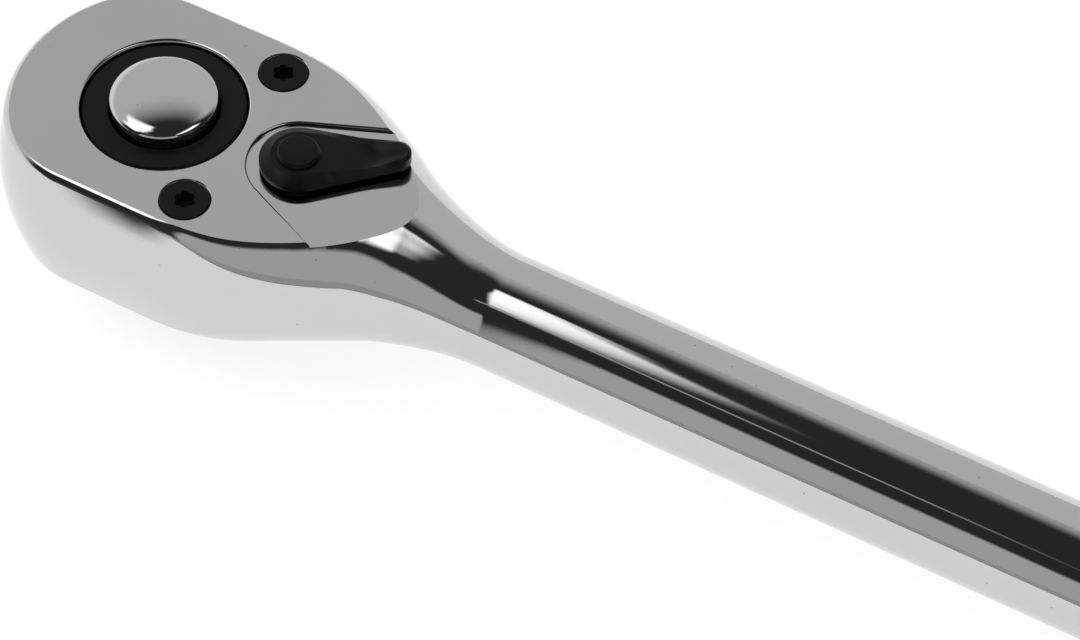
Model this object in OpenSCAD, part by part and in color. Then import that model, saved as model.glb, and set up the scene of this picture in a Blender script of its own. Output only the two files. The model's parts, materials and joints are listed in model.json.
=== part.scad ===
// Telescopic ratchet wrench with a half inch drive. The origin is on the drive axis, at the shoulder
// that a socket seats against. The handle runs along +X and the drive square points down.

/* [Head] */
// Radius of the head's front
head_r = 24.4; // [23.8:0.1:26]
// Width of the head across its sides, at the top and bottom
head_w = 40.8; // [40:0.1:43]
// Thickness of the head, from cover face to top face
head_t = 27; // [26:0.1:30]
// Radius of the arcs between the front and the sides
corner_r = 16; // [10:0.5:18]
// Radius of the head's long edges
edge_r = 2.7; // [2:0.1:3]
// How far the head's sides bulge at half height
side_bulge = 2; // [1:0.1:2.5]
// How far the drive shoulder stands proud of the cover face
hub_proud = 1; // [0.4:0.1:2]

/* [Neck and shank] */
// Where the head starts to narrow
neck_start = 18.5; // [17:0.5:21]
// Where the neck runs out into the round shank
neck_end = 60; // [56:1:70]
// Where the long edges start to widen into the round neck
round_start = 8; // [6:0.5:10]
// Where the neck becomes fully round
neck_round = 45.5; // [43:0.5:48]
// Where the sides' bulge starts to fade
bulge_start = 9; // [6:0.5:12]
// Where the sides' bulge has faded out
bulge_end = 43.5; // [40:0.5:48]
// How far the forged head would rise over the milled top face
head_rise = 0.5; // [0.2:0.1:0.8]
// How far the forged neck would rise over it
crown_rise = 2.7; // [2:0.1:3.2]
// Where that rise is highest
crown_x = 31.5; // [28:0.5:34]
// Diameter of the shank
shank_d = 18.2; // [17:0.1:19]
// Depth of the shank's axis below the top face
shank_drop = 14.4; // [13.5:0.1:15.5]
// Length of shank that the handle holds at full reach
shank_hold = 56; // [52:1:70]
// Chamfer at the end of the shank
shank_chamfer = 1; // [0.5:0.1:1.5]
// Width of the keyway under the shank
keyway_w = 5.2; // [5.1:0.1:6]

/* [Cover plate] */
// Thickness of the cover plate
plate_t = 3.5; // [3:0.1:4.5]
// Width of the rim around the cover plate
plate_edge = 2.4; // [2.2:0.1:2.8]
// Radius of the tongue under the selector
tongue_r = 8.4; // [7:0.1:9]
// Half angle at which the plate narrows towards its tongue
tongue_angle = 22; // [18:1:26]
// Wall behind the tongue, before the belly starts to rise
tongue_wall = 2; // [1.5:0.1:3]
// Distance of each screw from the cover plate's flat side
screw_side = 3.4; // [3:0.1:3.8]
// Distance of each screw from the cover plate's round edge
screw_edge = 2.65; // [2.5:0.05:2.9]
// Thread diameter of the screws
screw_d = 4; // [3:0.5:4]
// Diameter of the screw heads
screw_head_d = 8; // [7:0.1:8.2]
// Depth of the six-lobe recess in the screws
screw_recess = 1.8; // [1:0.1:1.9]
// Depth of the screws' tips in the cover plate
screw_tip_in = 0.2; // [0:0.1:0.5]

/* [Drive gear] */
// Teeth around the gear
teeth = 72; // [36:36:72]
// Diameter over the teeth
gear_d = 28.8; // [28.4:0.1:29.2]
// Depth of a tooth
tooth_depth = 0.7; // [0.5:0.05:0.9]
// Height of the toothed rim
gear_h = 10; // [8:0.5:11]
// Diameter of the bore for the hub, as seen in the top face
hub_d = 26; // [25.6:0.1:26.2]
// How far the hub ring lies below the top face
hub_sink = 0.4; // [0.2:0.1:1]
// Diameter of the journal in the cover plate
journal_d = 23.8; // [22:0.1:24]
// Width of the drive square
square_w = 12.7; // [12.4:0.1:13]
// Length of the drive square
square_l = 16; // [15:0.5:18]
// Width of the drive square over its rounded corners
square_round_d = 16.4; // [15:0.1:17]
// Bevel at the end of the drive square
square_bevel = 1.2; // [0.8:0.1:1.6]
// Bevel of the hub's edges
hub_bevel = 0.5; // [0.3:0.1:0.6]
// Chamfer of the hub's bore in the top face
bore_chamfer = 0.5; // [0.3:0.1:0.8]
// Thickness of the thrust washer
washer_t = 1.4; // [1:0.1:2]
// Width of the thrust washer's ring
washer_w = 1.3; // [0.8:0.1:1.5]

/* [Quick release] */
// Diameter of the button
button_d = 16.8; // [15:0.1:17.4]
// Height of the button's dome over its rim
dome_h = 2.4; // [1.6:0.1:3.2]
// Height of the button's rim over the top face
button_rise = 1.4; // [1:0.1:2]
// Travel of the button
press = 3; // [2:0.1:3.2]
// Diameter of the detent ball
ball_d = 5; // [4.6:0.1:5.2]
// Depth of the ball below the drive shoulder
ball_drop = 8.5; // [8:0.1:9]
// How far the ball stands out of the square
ball_out = 0.87; // [0.7:0.01:0.9]
// Sideways travel of the ball for each millimetre of button travel
ramp = 0.3; // [0.25:0.01:0.32]
// Diameter of the plunger rod
rod_d = 5; // [4.6:0.1:5.2]
// Depth of the waist in the rod
rod_waist = 0.4; // [0.3:0.1:0.6]
// Depth of the rod's end in the button
rod_in = 1; // [0.6:0.1:1.1]
// Length of the rod's foot, and of the bore left free below it
rod_foot = 1; // [0.8:0.1:1.2]
// Wall of the button
button_wall = 1.6; // [1.4:0.1:1.8]
// Length of the button's skirt that guides it when it is let go
button_guide = 2.2; // [1.6:0.1:3]
// Floor under the release spring, over the toothed rim
spring_floor_t = 1.6; // [1.4:0.1:2.4]

/* [Reversing lever] */
// Distance of the lever's pivot from the drive axis
lever_x = 24; // [23.6:0.1:24.4]
// Angle at which the lever rests, to either side of the middle
lever_turn = 31; // [25:1:35]
// Radius of the lever around its pivot
lever_r = 6.3; // [5.6:0.1:7]
// Radius of the lever's tip
lever_tip_r = 2.6; // [2:0.1:3]
// Length from the pivot to the end of the tip
lever_len = 17.2; // [15:0.1:18]
// Height of the lever's side wall
lever_h = 2.3; // [2:0.1:2.8]
// Height of the arm over the recess floor
lever_lift = 0.9; // [0.7:0.1:1.2]
// Width of the raised rim around the lever
lever_rim = 1.1; // [0.8:0.1:1.4]
// Depth of the dish in the lever's top
lever_dish = 1.1; // [0.6:0.1:1.6]
// Diameter of the boss on the lever
boss_d = 6.8; // [6:0.1:7.4]
// Height of the boss over the lever's rim
boss_rise = 0.5; // [0.3:0.1:1]
// Chamfer of the boss
boss_chamfer = 0.4; // [0.2:0.1:0.6]
// Width of the step under the lever
lever_step = 0.8; // [0.5:0.1:1.2]
// How far the lever's tip hangs over that step
tip_over = 2.4; // [1.5:0.1:3]
// Depth of the recess that the lever swings in
recess_depth = 0.6; // [0.4:0.1:0.9]
// Radius of the recess around the pivot
recess_r = 7.8; // [7.6:0.1:8.4]
// Half angle at which the recess opens
recess_angle = 23.5; // [20:0.5:26]
// Diameter of the selector shaft
shaft_d = 8; // [7.6:0.1:8.2]
// Diameter of the shaft's spigot in the lever
spigot_d = 5.2; // [4.6:0.1:5.4]
// Cover left over the spigot in the lever
spigot_cover = 1.2; // [1:0.1:1.6]

/* [Pawl] */
// Distance of the pawl's pin from the drive axis
pin_x = 16.7; // [16.6:0.05:16.8]
// Diameter of the pawl's pin
pin_d = 2.5; // [2:0.1:2.6]
// Angle that the pawl rocks to either side
rock = 8; // [7:0.5:9]
// Outer radius of the pawl's arms
pawl_r = 18.6; // [18.2:0.1:19]
// Half angle that the pawl spans
pawl_span = 31; // [28:1:32]
// Half angle of the relief between the two toothed ends
pawl_relief = 12; // [11:0.5:14]
// Diameter of the spring-loaded follower
follower_d = 2.6; // [2.2:0.1:2.8]
// How far the follower reaches past the shaft
follower_out = 1; // [0.8:0.1:1.1]
// Length of the follower
follower_l = 3.2; // [2.8:0.1:3.4]
// Depth of the follower's hole past the shaft's axis
follower_hole = 2.6; // [2.4:0.1:2.8]
// Slope of the notch that the follower rides in
notch_slope = 60; // [56:1:62]
// How far the pawl's back stands behind its pin
pawl_back = 3.7; // [3.6:0.1:3.8]
// Width of the pawl's back
pawl_back_w = 9.2; // [8.6:0.2:9.6]
// How far the pawl's back laps into its arms, in front of the pin
pawl_lap = 0.9; // [0.6:0.1:1.2]
// How far the pawl stays above the lower face of the toothed rim
pawl_inset = 0.4; // [0.2:0.1:0.8]
// Depth of the pawl's pin in the head and in the plate
pin_in = 1.4; // [1:0.1:1.8]

/* [Handle] */
// Bare shank left in front of the handle when it is pushed in
neck_room = 4; // [2:0.5:10]
// Room left behind the shank when the handle is pushed in
end_room = 3; // [2:0.5:8]
// Distance between two locking places
pitch = 23; // [20:1:24]
// Locking places
places = 7; // [4:1:7]
// Wall of the handle tube
tube_wall = 2; // [1.9:0.05:2.5]
// Bevel at the front of the tube
tube_bevel = 0.8; // [0.4:0.1:0.9]
// Length of the guide bush in the front of the tube
bush_l = 6; // [5:0.5:8]
// Wall of the guide bush
bush_wall = 0.9; // [0.7:0.1:1]
// Thickness of the guide bush's flange
bush_flange = 1; // [0.6:0.1:1.5]
// Distance from the guide pin to the knurl
knurl_start = 21; // [12:1:40]
// Gap between the knurl and the end cap
knurl_end = 12; // [8:1:20]
// Width of the turned groove at each end of the knurl
groove_w = 2; // [1:0.5:3]
// Depth of those grooves
groove_depth = 0.5; // [0.3:0.1:0.8]
// Length of the end cap outside the tube
cap_l = 9; // [6:0.5:14]
// Depth of the end cap's plug in the tube
cap_plug = 10; // [6:0.5:10]
// How far the end cap stands out past the tube
cap_rim = 0.5; // [0.2:0.1:1.5]
// Radius of the end cap's edge
cap_round = 3; // [2:0.5:4]

/* [Lock] */
// Distance of the lock ball from the front of the handle
lock_x = 16; // [15:0.5:18]
// Diameter of the lock ball
lock_ball_d = 5; // [4.6:0.1:5]
// Depth of the locked ball in the shank
lock_depth = 2.6; // [2.5:0.1:2.8]
// Travel of the lock collar
lock_travel = 5; // [4.8:0.1:5.2]
// Outward travel of the ball for each millimetre of collar travel
lock_ramp = 0.26; // [0.25:0.01:0.28]
// Wall of the lock collar round its spring
collar_wall = 1.4; // [1.2:0.1:2.4]
// Depth of the grip groove round the collar
grip_depth = 0.8; // [0.4:0.1:0.9]
// Bevel at the collar's ends
collar_bevel = 1; // [0.5:0.1:1.2]
// Length of the collar's front lip
collar_lip = 3; // [2:0.5:4]
// Length of the collar in front of the ball
collar_front = 12; // [11.5:0.5:12.5]
// Length of the collar behind the ball
collar_rear = 21; // [20:0.5:24]
// Distance of the spring chamber behind the ball
chamber_back = 6; // [5:0.5:7]
// Depth of the spring seat in the collar's mouth
seat_in = 3; // [2.8:0.1:3.6]
// Thickness of the spring seat
seat_t = 1.6; // [1.2:0.1:1.6]
// Distance of the guide pin behind the ball
guide_x = 30; // [28:0.5:34]
// Diameter of the guide pin
guide_d = 4.9; // [4.4:0.1:5]

/* [Springs and rings] */
// Wire diameter of the release spring
release_wire = 0.9; // [0.7:0.05:1]
// Wire diameter of the pawl spring
pawl_wire = 0.36; // [0.3:0.02:0.4]
// Wire diameter of the lock spring
lock_wire = 0.9; // [0.7:0.05:1]
// Curls of each spring
curls = 4; // [3:0.5:5]
// Thickness of the retaining rings
ring_t = 1; // [0.8:0.1:1.2]
// Depth of a retaining ring in its groove
ring_depth = 0.7; // [0.5:0.1:0.8]
// How far a retaining ring stands out of its groove
ring_out = 0.9; // [0.7:0.1:1]
// Wire diameter of the lever's seal ring
seal_d = 1.4; // [1.2:0.1:1.5]

/* [Clearances] */
// Radial clearance of a running fit
run = 0.08; // [0.04:0.01:0.1]
// Radial clearance of a seated fit
seat = 0.03; // [0.02:0.01:0.05]
// End play of the moving pieces
play = 0.2; // [0.1:0.05:0.3]
// Gap between flat faces that bear on each other
face = 0.05; // [0.02:0.01:0.1]
// Gap between a ball and the ramp that moves it
ball_gap = 0.02; // [0.01:0.01:0.05]
// Gap between the teeth of the gear and the pawl
mesh_gap = 0.08; // [0.06:0.01:0.12]
// Room round the gear in its pocket
pocket_gap = 0.5; // [0.4:0.1:0.8]
// Room behind the pawl's arms
pawl_room = 1.8; // [1.6:0.1:2]
// Room round a coil spring
spring_gap = 0.5; // [0.3:0.05:0.6]

/* [Hidden] */
$fn = 96;
eps = 0.01;
far = 200;

// Heights
z_bot = hub_proud;
z_top = hub_proud + head_t;
axis_z = z_top - shank_drop;
plate_top = z_bot + plate_t;
gear_z = plate_top + washer_t + 2 * face;
roof_z = gear_z + gear_h + play;
floor_z = z_top - recess_depth;

// Plan of head and neck
half_w = head_w / 2;
plate_r = head_r - plate_edge;
plate_half = half_w - plate_edge;
screw_y = plate_half - screw_side;
screw_x = sqrt((plate_r - screw_edge) ^ 2 - screw_y ^ 2);
shank_r = shank_d / 2;
corner_y = half_w - corner_r;
corner_d = head_r - corner_r;
corner_x = -sqrt(corner_d * corner_d - corner_y * corner_y);
corner_a = atan2(corner_y, corner_x);
neck_len = neck_end - neck_start;
neck_drop = half_w - shank_r;
neck_arc = (neck_len * neck_len + neck_drop * neck_drop) / (4 * neck_drop);
neck_mid = (neck_start + neck_end) / 2;
belly_start = lever_x + tongue_r + tongue_wall;
belly_rise = head_t - shank_drop - shank_r;
top_fall = shank_drop - shank_r;
min_flat = 0.1;

// Quick release
ball_r = ball_d / 2;
ball_x = square_w / 2 + ball_out - ball_r;
ramp_a = atan(ramp);
ramp_r = ball_x - (ball_r + ball_gap) / cos(ramp_a);
rod_r = rod_d / 2;
ramp_low = (rod_r - ramp_r) / ramp;
ramp_high = press + rod_foot;
waist_r = rod_r - rod_waist;
button_r = button_d / 2;
button_z = z_top + button_rise;
skirt_h = press + button_guide;
spring_floor = roof_z + spring_floor_t;
spring_top = button_z - button_wall;

// Lever and selector
shaft_r = shaft_d / 2;
shaft_z = plate_top + play;
lever_z = floor_z + lever_lift;
rim_z = lever_z + lever_h;
spigot_r = spigot_d / 2;
seal_z = (roof_z + floor_z) / 2;
clip_z = roof_z - play - ring_t;
clip_r = shaft_r + ring_out;

// Pawl
gear_r = gear_d / 2;
root_r = gear_r - tooth_depth;
pawl_z = gear_z + pawl_inset;
pawl_h = clip_z - pocket_gap - pawl_z;
pawl_back_r = norm([pawl_back, pawl_back_w / 2]);
follower_r = follower_d / 2;
follower_z = pawl_z + pawl_h / 2;
follower_tip = shaft_r + follower_out;
notch_r = follower_r + play;
notch_x = lever_x - follower_tip + follower_r;
pocket_r = pawl_r + pawl_room;
pocket_span = pawl_span + asin(pawl_room / pawl_r);

// Handle and lock
bore_r = shank_r + run;
tube_r = bore_r + tube_wall;
travel = pitch * (places - 1);
handle_x = neck_end + neck_room + travel;
shank_end = handle_x + shank_hold;
tube_x = handle_x + bush_flange;
tube_end = shank_end + travel + end_room + cap_plug;
keyway_depth = lock_depth - lock_ramp * lock_travel + play;
ball_place = handle_x + lock_x;
lock_ball_r = lock_ball_d / 2;
lock_ball_c = shank_r - lock_depth + lock_ball_r;
guide_place = ball_place + guide_x;
lock_a = atan(lock_ramp);
cone_r = lock_ball_c + (lock_ball_r + ball_gap) / cos(lock_a);
collar_bore = tube_r + run;
recess_out = lock_ball_c + lock_ball_r + lock_ramp * lock_travel + play;
cone_high = (recess_out - cone_r) / lock_ramp;
cone_low = (cone_r - collar_bore) / lock_ramp;
chamber_r = tube_r + lock_wire + 2 * spring_gap;
collar_r = chamber_r + collar_wall;
chamber_x = ball_place + chamber_back;
collar_x0 = ball_place - collar_front;
collar_x1 = ball_place + collar_rear;
seat_x = collar_x1 - seat_in;
ring_places = [collar_x0 - ring_t, seat_x + seat_t];

// Profiles and helpers

function smooth(u) = let (t = min(max(u, 0), 1)) t * t * (3 - 2 * t);

// Half width of the neck's plan: two tangent arcs
function plan_w(x) =
    x <= neck_start ? half_w :
    x >= neck_end ? shank_r :
    x < neck_mid ? half_w - neck_arc + sqrt(neck_arc * neck_arc - (x - neck_start) ^ 2) :
    shank_r + neck_arc - sqrt(neck_arc * neck_arc - (neck_end - x) ^ 2);

// Distance from the drive axis to the head's outline: front arc, corner arc, straight side
function front_r(a) =
    a >= corner_a ? head_r :
    let (p = corner_x * cos(a) + corner_y * sin(a),
        r = p + sqrt(corner_r * corner_r - corner_d * corner_d + p * p))
    r * cos(a) > corner_x ? half_w / sin(a) : r;

// Height of the forged crown over the top face, and of the belly under it
function crown(x) =
    x < crown_x ?
    head_rise + (crown_rise - head_rise) * smooth((x - round_start) / (crown_x - round_start)) :
    crown_rise - (crown_rise + top_fall) * smooth((x - crown_x) / (neck_end - crown_x));
function belly(x) = -head_t + belly_rise * smooth((x - belly_start) / (neck_end - belly_start));

// Bulge of the sides at half height
function bulge(x) = side_bulge * (1 - smooth((x - bulge_start) / (bulge_end - bulge_start)));

// One side of a cross-section: [distance from the middle, height], from the top edge round to the belly
function rib(x, w, n) =
    let (c = crown(x), b = belly(x), half_h = (c - b) / 2, mid = (c + b) / 2,
        turn = smooth((x - round_start) / (neck_round - round_start)),
        r = min(edge_r + (w - edge_r) * turn, w - min_flat),
        v = min(r, half_h - min_flat),
        start = c > 0 ? asin(1 - c / v) : 90,
        line = concat(
            [for (i = [0:n]) let (a = start * (1 - i / n)) [w - r + r * cos(a), c - v + v * sin(a)]],
            [for (i = [1:side_rows]) [w, mid + (half_h - v) * (1 - 2 * i / (side_rows + 1))]],
            [for (i = [0:n]) let (a = -90 * i / n) [w - r + r * cos(a), b + v + v * sin(a)]]))
    [for (p = line) [p[0] + bulge(x) * (1 - ((p[1] - mid) / half_h) ^ 2), p[1]]];

front_steps = 16;
side_steps = 26;
arc_steps = 6;
side_rows = 3;
rib_n = 2 * (arc_steps + 1) + side_rows;

// The ribs fan out round the drive axis at the front, and stand square to the handle behind it
function rib_points(i, side) =
    i <= front_steps ?
    let (a = 180 - 90 * i / front_steps, w = front_r(a))
        [for (p = rib(min(w * cos(a), 0), w, arc_steps))
            [p[0] * cos(a), side * p[0] * sin(a), z_top + p[1]]] :
    let (x = neck_end * (i - front_steps) / side_steps, w = plan_w(x))
        [for (p = rib(x, w, arc_steps)) [x, side * p[0], z_top + p[1]]];

rib_count = front_steps + side_steps;
function at(i, side, j) = i == 0 ? j : rib_n + (i - 1) * 2 * rib_n + (side > 0 ? 0 : rib_n) + j;
function band(a, b, c, d) = [[a, b, c], [a, c, d]];

module forging() {
    points = concat(rib_points(0, 1),
        [for (i = [1:rib_count]) each concat(rib_points(i, 1), rib_points(i, -1))]);
    last = rib_n - 1;
    sides = [for (i = [0:rib_count - 1]) for (j = [0:last - 1]) each concat(
        band(at(i, 1, j), at(i + 1, 1, j), at(i + 1, 1, j + 1), at(i, 1, j + 1)),
        band(at(i, -1, j + 1), at(i + 1, -1, j + 1), at(i + 1, -1, j), at(i, -1, j)))];
    lids = [for (i = [1:rib_count - 1]) each concat(
        band(at(i, -1, 0), at(i + 1, -1, 0), at(i + 1, 1, 0), at(i, 1, 0)),
        band(at(i, 1, last), at(i + 1, 1, last), at(i + 1, -1, last), at(i, -1, last)))];
    nose = [[at(0, 1, 0), at(1, -1, 0), at(1, 1, 0)], [at(0, 1, last), at(1, 1, last), at(1, -1, last)]];
    back = [concat([for (j = [0:last]) at(rib_count, 1, j)], [for (j = [last:-1:0]) at(rib_count, -1, j)])];
    polyhedron(points, concat(sides, lids, nose, back), convexity = 6);
}

module along_x(x0, x1, r) {
    translate([x0, 0, axis_z]) rotate([0, 90, 0]) cylinder(h = x1 - x0, r = r);
}

// Revolves a profile of [distance along X, radius] points about the shank's axis
module turned_x(points) {
    translate([0, 0, axis_z]) rotate([0, 90, 0]) rotate_extrude() polygon([for (p = points) [p[1], p[0]]]);
}

module turned(points) {
    rotate_extrude() polygon(points);
}

module ring(r_in, r_out, h) {
    difference() {
        cylinder(h = h, r = r_out);
        translate([0, 0, -eps]) cylinder(h = h + 2 * eps, r = r_in);
    }
}

// Two circles and the area between their outer tangents
module link_2d(r1, r2, d) {
    b = asin((r1 - r2) / d);
    circle(r1);
    translate([d, 0]) circle(r2);
    polygon([[r1 * sin(b), r1 * cos(b)], [d + r2 * sin(b), r2 * cos(b)],
        [d + r2 * sin(b), -r2 * cos(b)], [r1 * sin(b), -r1 * cos(b)]]);
}

module wedge_2d(half_angle) {
    reach = far * cos(half_angle);
    polygon([[0, 0], [reach, reach * tan(half_angle)], [reach, -reach * tan(half_angle)]]);
}

// Coil of round wire on the Z axis, from z = 0 to z = h, as one unbroken tube
module coil(r, wire, h) {
    per_curl = 16;
    sides = 6;
    n = round(curls * per_curl);
    rise = h - wire;
    path = [for (i = [0:n]) let (a = 360 * i / per_curl) [r * cos(a), r * sin(a), wire / 2 + rise * i / n]];
    gap = min([for (i = [0:n]) for (j = [i + per_curl - 2:1:n]) norm(path[i] - path[j])]) - wire;
    echo(least_gap = gap);
    points = [for (i = [0:n]) let (a = 360 * i / per_curl) for (k = [0:sides - 1])
        let (b = 360 * k / sides, q = wire / 2 * cos(b))
        path[i] + [q * cos(a), q * sin(a), wire / 2 * sin(b)]];
    skin = [for (i = [0:n - 1]) for (k = [0:sides - 1])
        let (p = sides * i, q = p + sides, k2 = (k + 1) % sides)
        each band(p + k, p + k2, q + k2, q + k)];
    ends = [[for (k = [sides - 1:-1:0]) k], [for (k = [0:sides - 1]) sides * n + k]];
    polyhedron(points, concat(skin, ends), convexity = 8);
}

// Head

module plate_solid(gap, h) {
    side = plate_half + gap;
    low = tongue_r * cos(tongue_angle) + gap;
    high = low + lever_x * tan(tongue_angle);
    intersection() {
        union() {
            cylinder(h = h, r = plate_r + gap);
            translate([lever_x, 0, 0]) cylinder(h = h, r = tongue_r + gap);
            linear_extrude(h) polygon([[0, high], [lever_x, low], [lever_x, -low], [0, -high]]);
        }
        translate([-far, -side, 0]) cube([2 * far, 2 * side, h]);
    }
}

module pocket_2d() {
    circle(gear_r + pocket_gap);
    intersection() {
        circle(pocket_r);
        wedge_2d(pocket_span);
    }
    translate([pin_x, 0]) circle(pawl_back_r + pocket_gap);
    translate([lever_x, 0]) circle(clip_r + pocket_gap);
}

module recess_2d() {
    tangent = 90 + recess_angle;
    p = recess_r * [cos(tangent), sin(tangent)];
    q = p + far * [cos(recess_angle), sin(recess_angle)];
    translate([lever_x, 0]) {
        circle(recess_r);
        polygon([p, q, [q[0], -q[1]], [p[0], -p[1]]]);
    }
}

module at_screws() {
    for (s = [-1, 1]) translate([screw_x, s * screw_y, 0]) children();
}

module screw_hole() {
    cylinder(h = z_top, r = screw_d / 2 + play);
    translate([0, 0, z_top - (screw_head_d - screw_d) / 2])
        cylinder(h = screw_head_d / 2, r1 = screw_d / 2 + seat, r2 = screw_head_d - screw_d / 2 + seat);
}

module locking_places() {
    for (i = [0:places - 1])
        translate([ball_place - i * pitch, 0, axis_z - lock_ball_c]) sphere(r = lock_ball_r + run);
    x0 = ball_place - travel - lock_ball_r - play;
    x1 = guide_place + guide_d / 2 + play;
    for (x = [x0 + keyway_w / 2, x1 - keyway_w / 2])
        translate([x, 0, axis_z - shank_r - 1]) cylinder(h = keyway_depth + 1, d = keyway_w);
    translate([x0 + keyway_w / 2, -keyway_w / 2, axis_z - shank_r - 1])
        cube([x1 - x0 - keyway_w, keyway_w, keyway_depth + 1]);
}

module ratchet_body() {
    mouth_r = hub_d / 2;
    color("silver") difference() {
        union() {
            forging();
            turned_x([[neck_end, 0], [neck_end, shank_r], [shank_end - shank_chamfer, shank_r],
                [shank_end, shank_r - shank_chamfer], [shank_end, 0]]);
        }
        translate([0, 0, z_bot - 1]) plate_solid(seat, plate_t + 1);
        translate([0, 0, plate_top - eps]) linear_extrude(roof_z - plate_top + eps) pocket_2d();
        cylinder(h = z_top + 1, r = mouth_r);
        translate([0, 0, z_top - bore_chamfer])
            cylinder(h = 2 * bore_chamfer, r1 = mouth_r, r2 = mouth_r + 2 * bore_chamfer);
        translate([0, 0, floor_z]) linear_extrude(far) recess_2d();
        translate([lever_x, 0, 0]) cylinder(h = z_top + 1, r = shaft_r + run);
        translate([pin_x, 0, plate_top])
            cylinder(h = roof_z - plate_top + pin_in + play, r = pin_d / 2 + seat);
        at_screws() screw_hole();
        locking_places();
    }
}

module cover_plate() {
    color("silver") difference() {
        translate([0, 0, z_bot]) plate_solid(0, plate_t);
        cylinder(h = far, r = journal_d / 2 + run);
        at_screws() cylinder(h = far, r = screw_d / 2 + seat);
        translate([pin_x, 0, plate_top - pin_in - face]) cylinder(h = far, r = pin_d / 2 + seat);
    }
}

module cover_screws() {
    lobes = 6;
    lobe_r = screw_head_d * 0.075;
    lobe_ring = screw_head_d * 0.13;
    head_h = (screw_head_d - screw_d) / 2;
    tip_z = z_bot + screw_tip_in;
    color("#26282a") at_screws() difference() {
        union() {
            translate([0, 0, tip_z]) cylinder(h = z_top - head_h - tip_z, d = screw_d);
            translate([0, 0, z_top - head_h]) cylinder(h = head_h, d1 = screw_d, d2 = screw_head_d);
        }
        translate([0, 0, z_top - screw_recess]) {
            cylinder(h = far, r = lobe_ring);
            for (i = [0:lobes - 1])
                rotate(360 * i / lobes) translate([lobe_ring, 0, 0]) cylinder(h = far, r = lobe_r);
        }
    }
}

// Drive

module teeth_2d(grow) {
    polygon([for (i = [0:2 * teeth - 1])
        let (a = 180 * i / teeth, r = gear_r + grow - (i % 2) * tooth_depth) r * [cos(a), sin(a)]]);
}

module thrust_washer() {
    bore = journal_d / 2 + run;
    color("peru") translate([0, 0, plate_top + face]) ring(bore, bore + washer_w, washer_t);
}

module drive_gear() {
    hub_r = hub_d / 2 - run;
    hub_z = z_top - hub_sink;
    rim_top = gear_z + gear_h;
    well_r = button_r + run;
    corner_z = -square_l + square_round_d / 2 - square_w / 2 + square_bevel;
    color("#2b2d2e") difference() {
        union() {
            translate([0, 0, gear_z]) linear_extrude(gear_h) teeth_2d(0);
            cylinder(h = gear_z + gear_h / 2, d = journal_d);
            turned([[0, rim_top - eps], [hub_r, rim_top - eps], [hub_r, hub_z - hub_bevel],
                [hub_r - hub_bevel, hub_z], [0, hub_z]]);
            intersection() {
                translate([-square_w / 2, -square_w / 2, -square_l])
                    cube([square_w, square_w, square_l + 1]);
                turned([[0, -square_l], [square_w / 2 - square_bevel, -square_l],
                    [square_round_d / 2, corner_z], [square_round_d / 2, 1], [0, 1]]);
            }
        }
        translate([0, 0, spring_floor]) cylinder(h = far, r = well_r);
        translate([0, 0, hub_z - hub_bevel])
            cylinder(h = 2 * hub_bevel, r1 = well_r, r2 = well_r + 2 * hub_bevel);
        translate([0, 0, -ball_drop - ramp_low - press - 2 * rod_foot]) cylinder(h = far, r = rod_r + run);
        translate([0, 0, -ball_drop]) rotate([0, -90, 0]) cylinder(h = far, r = ball_r + run);
    }
}

module release_button() {
    inner_r = button_r - button_wall;
    steps = 12;
    dome = [for (i = [0:steps]) let (a = 90 * i / steps) [button_r * sin(a), button_z + dome_h * cos(a)]];
    color("silver") difference() {
        turned(concat(dome, [[button_r, button_z - skirt_h], [inner_r, button_z - skirt_h],
            [inner_r, spring_top], [0, spring_top]]));
        translate([0, 0, spring_top - eps]) cylinder(h = rod_in + face, r = waist_r + seat);
    }
}

module release_plunger() {
    top_z = spring_top + rod_in;
    low_z = -ball_drop - ramp_low;
    high_z = -ball_drop + ramp_high;
    color("#9a9da0") turned([[0, low_z - rod_foot], [rod_r, low_z - rod_foot], [rod_r, low_z],
        [ramp_r - ramp * ramp_high, high_z], [waist_r, high_z + rod_foot], [waist_r, top_z], [0, top_z]]);
}

module release_spring() {
    color("#b8bbbe") translate([0, 0, spring_floor + face])
        coil(button_r - button_wall - spring_gap - release_wire / 2, release_wire,
            spring_top - spring_floor - 2 * face);
}

module detent_ball() {
    color("#c4c7ca") translate([-ball_x, 0, -ball_drop]) sphere(r = ball_r);
}

// Reversing lever and pawl

module on_lever(z) {
    translate([lever_x, 0, z]) rotate(lever_turn) children();
}

module reverse_lever() {
    reach = lever_len - lever_tip_r;
    boss_r = boss_d / 2;
    boss_top = lever_h + boss_rise;
    dish_tip = lever_tip_r - lever_rim;
    color("#232526") difference() {
        union() {
            on_lever(lever_z) linear_extrude(lever_h - lever_dish) link_2d(lever_r, lever_tip_r, reach);
            on_lever(lever_z) linear_extrude(lever_h) difference() {
                link_2d(lever_r, lever_tip_r, reach);
                link_2d(lever_r - lever_rim, dish_tip, reach - lever_rim);
            }
            on_lever(floor_z + play) linear_extrude(lever_lift)
                link_2d(lever_r - lever_step, lever_tip_r - lever_step, reach - tip_over);
            on_lever(lever_z) turned([[0, 0], [boss_r, 0], [boss_r, boss_top - boss_chamfer],
                [boss_r - boss_chamfer, boss_top], [0, boss_top]]);
        }
        on_lever(floor_z) cylinder(h = rim_z - spigot_cover + face - floor_z, r = spigot_r + seat);
    }
}

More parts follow.
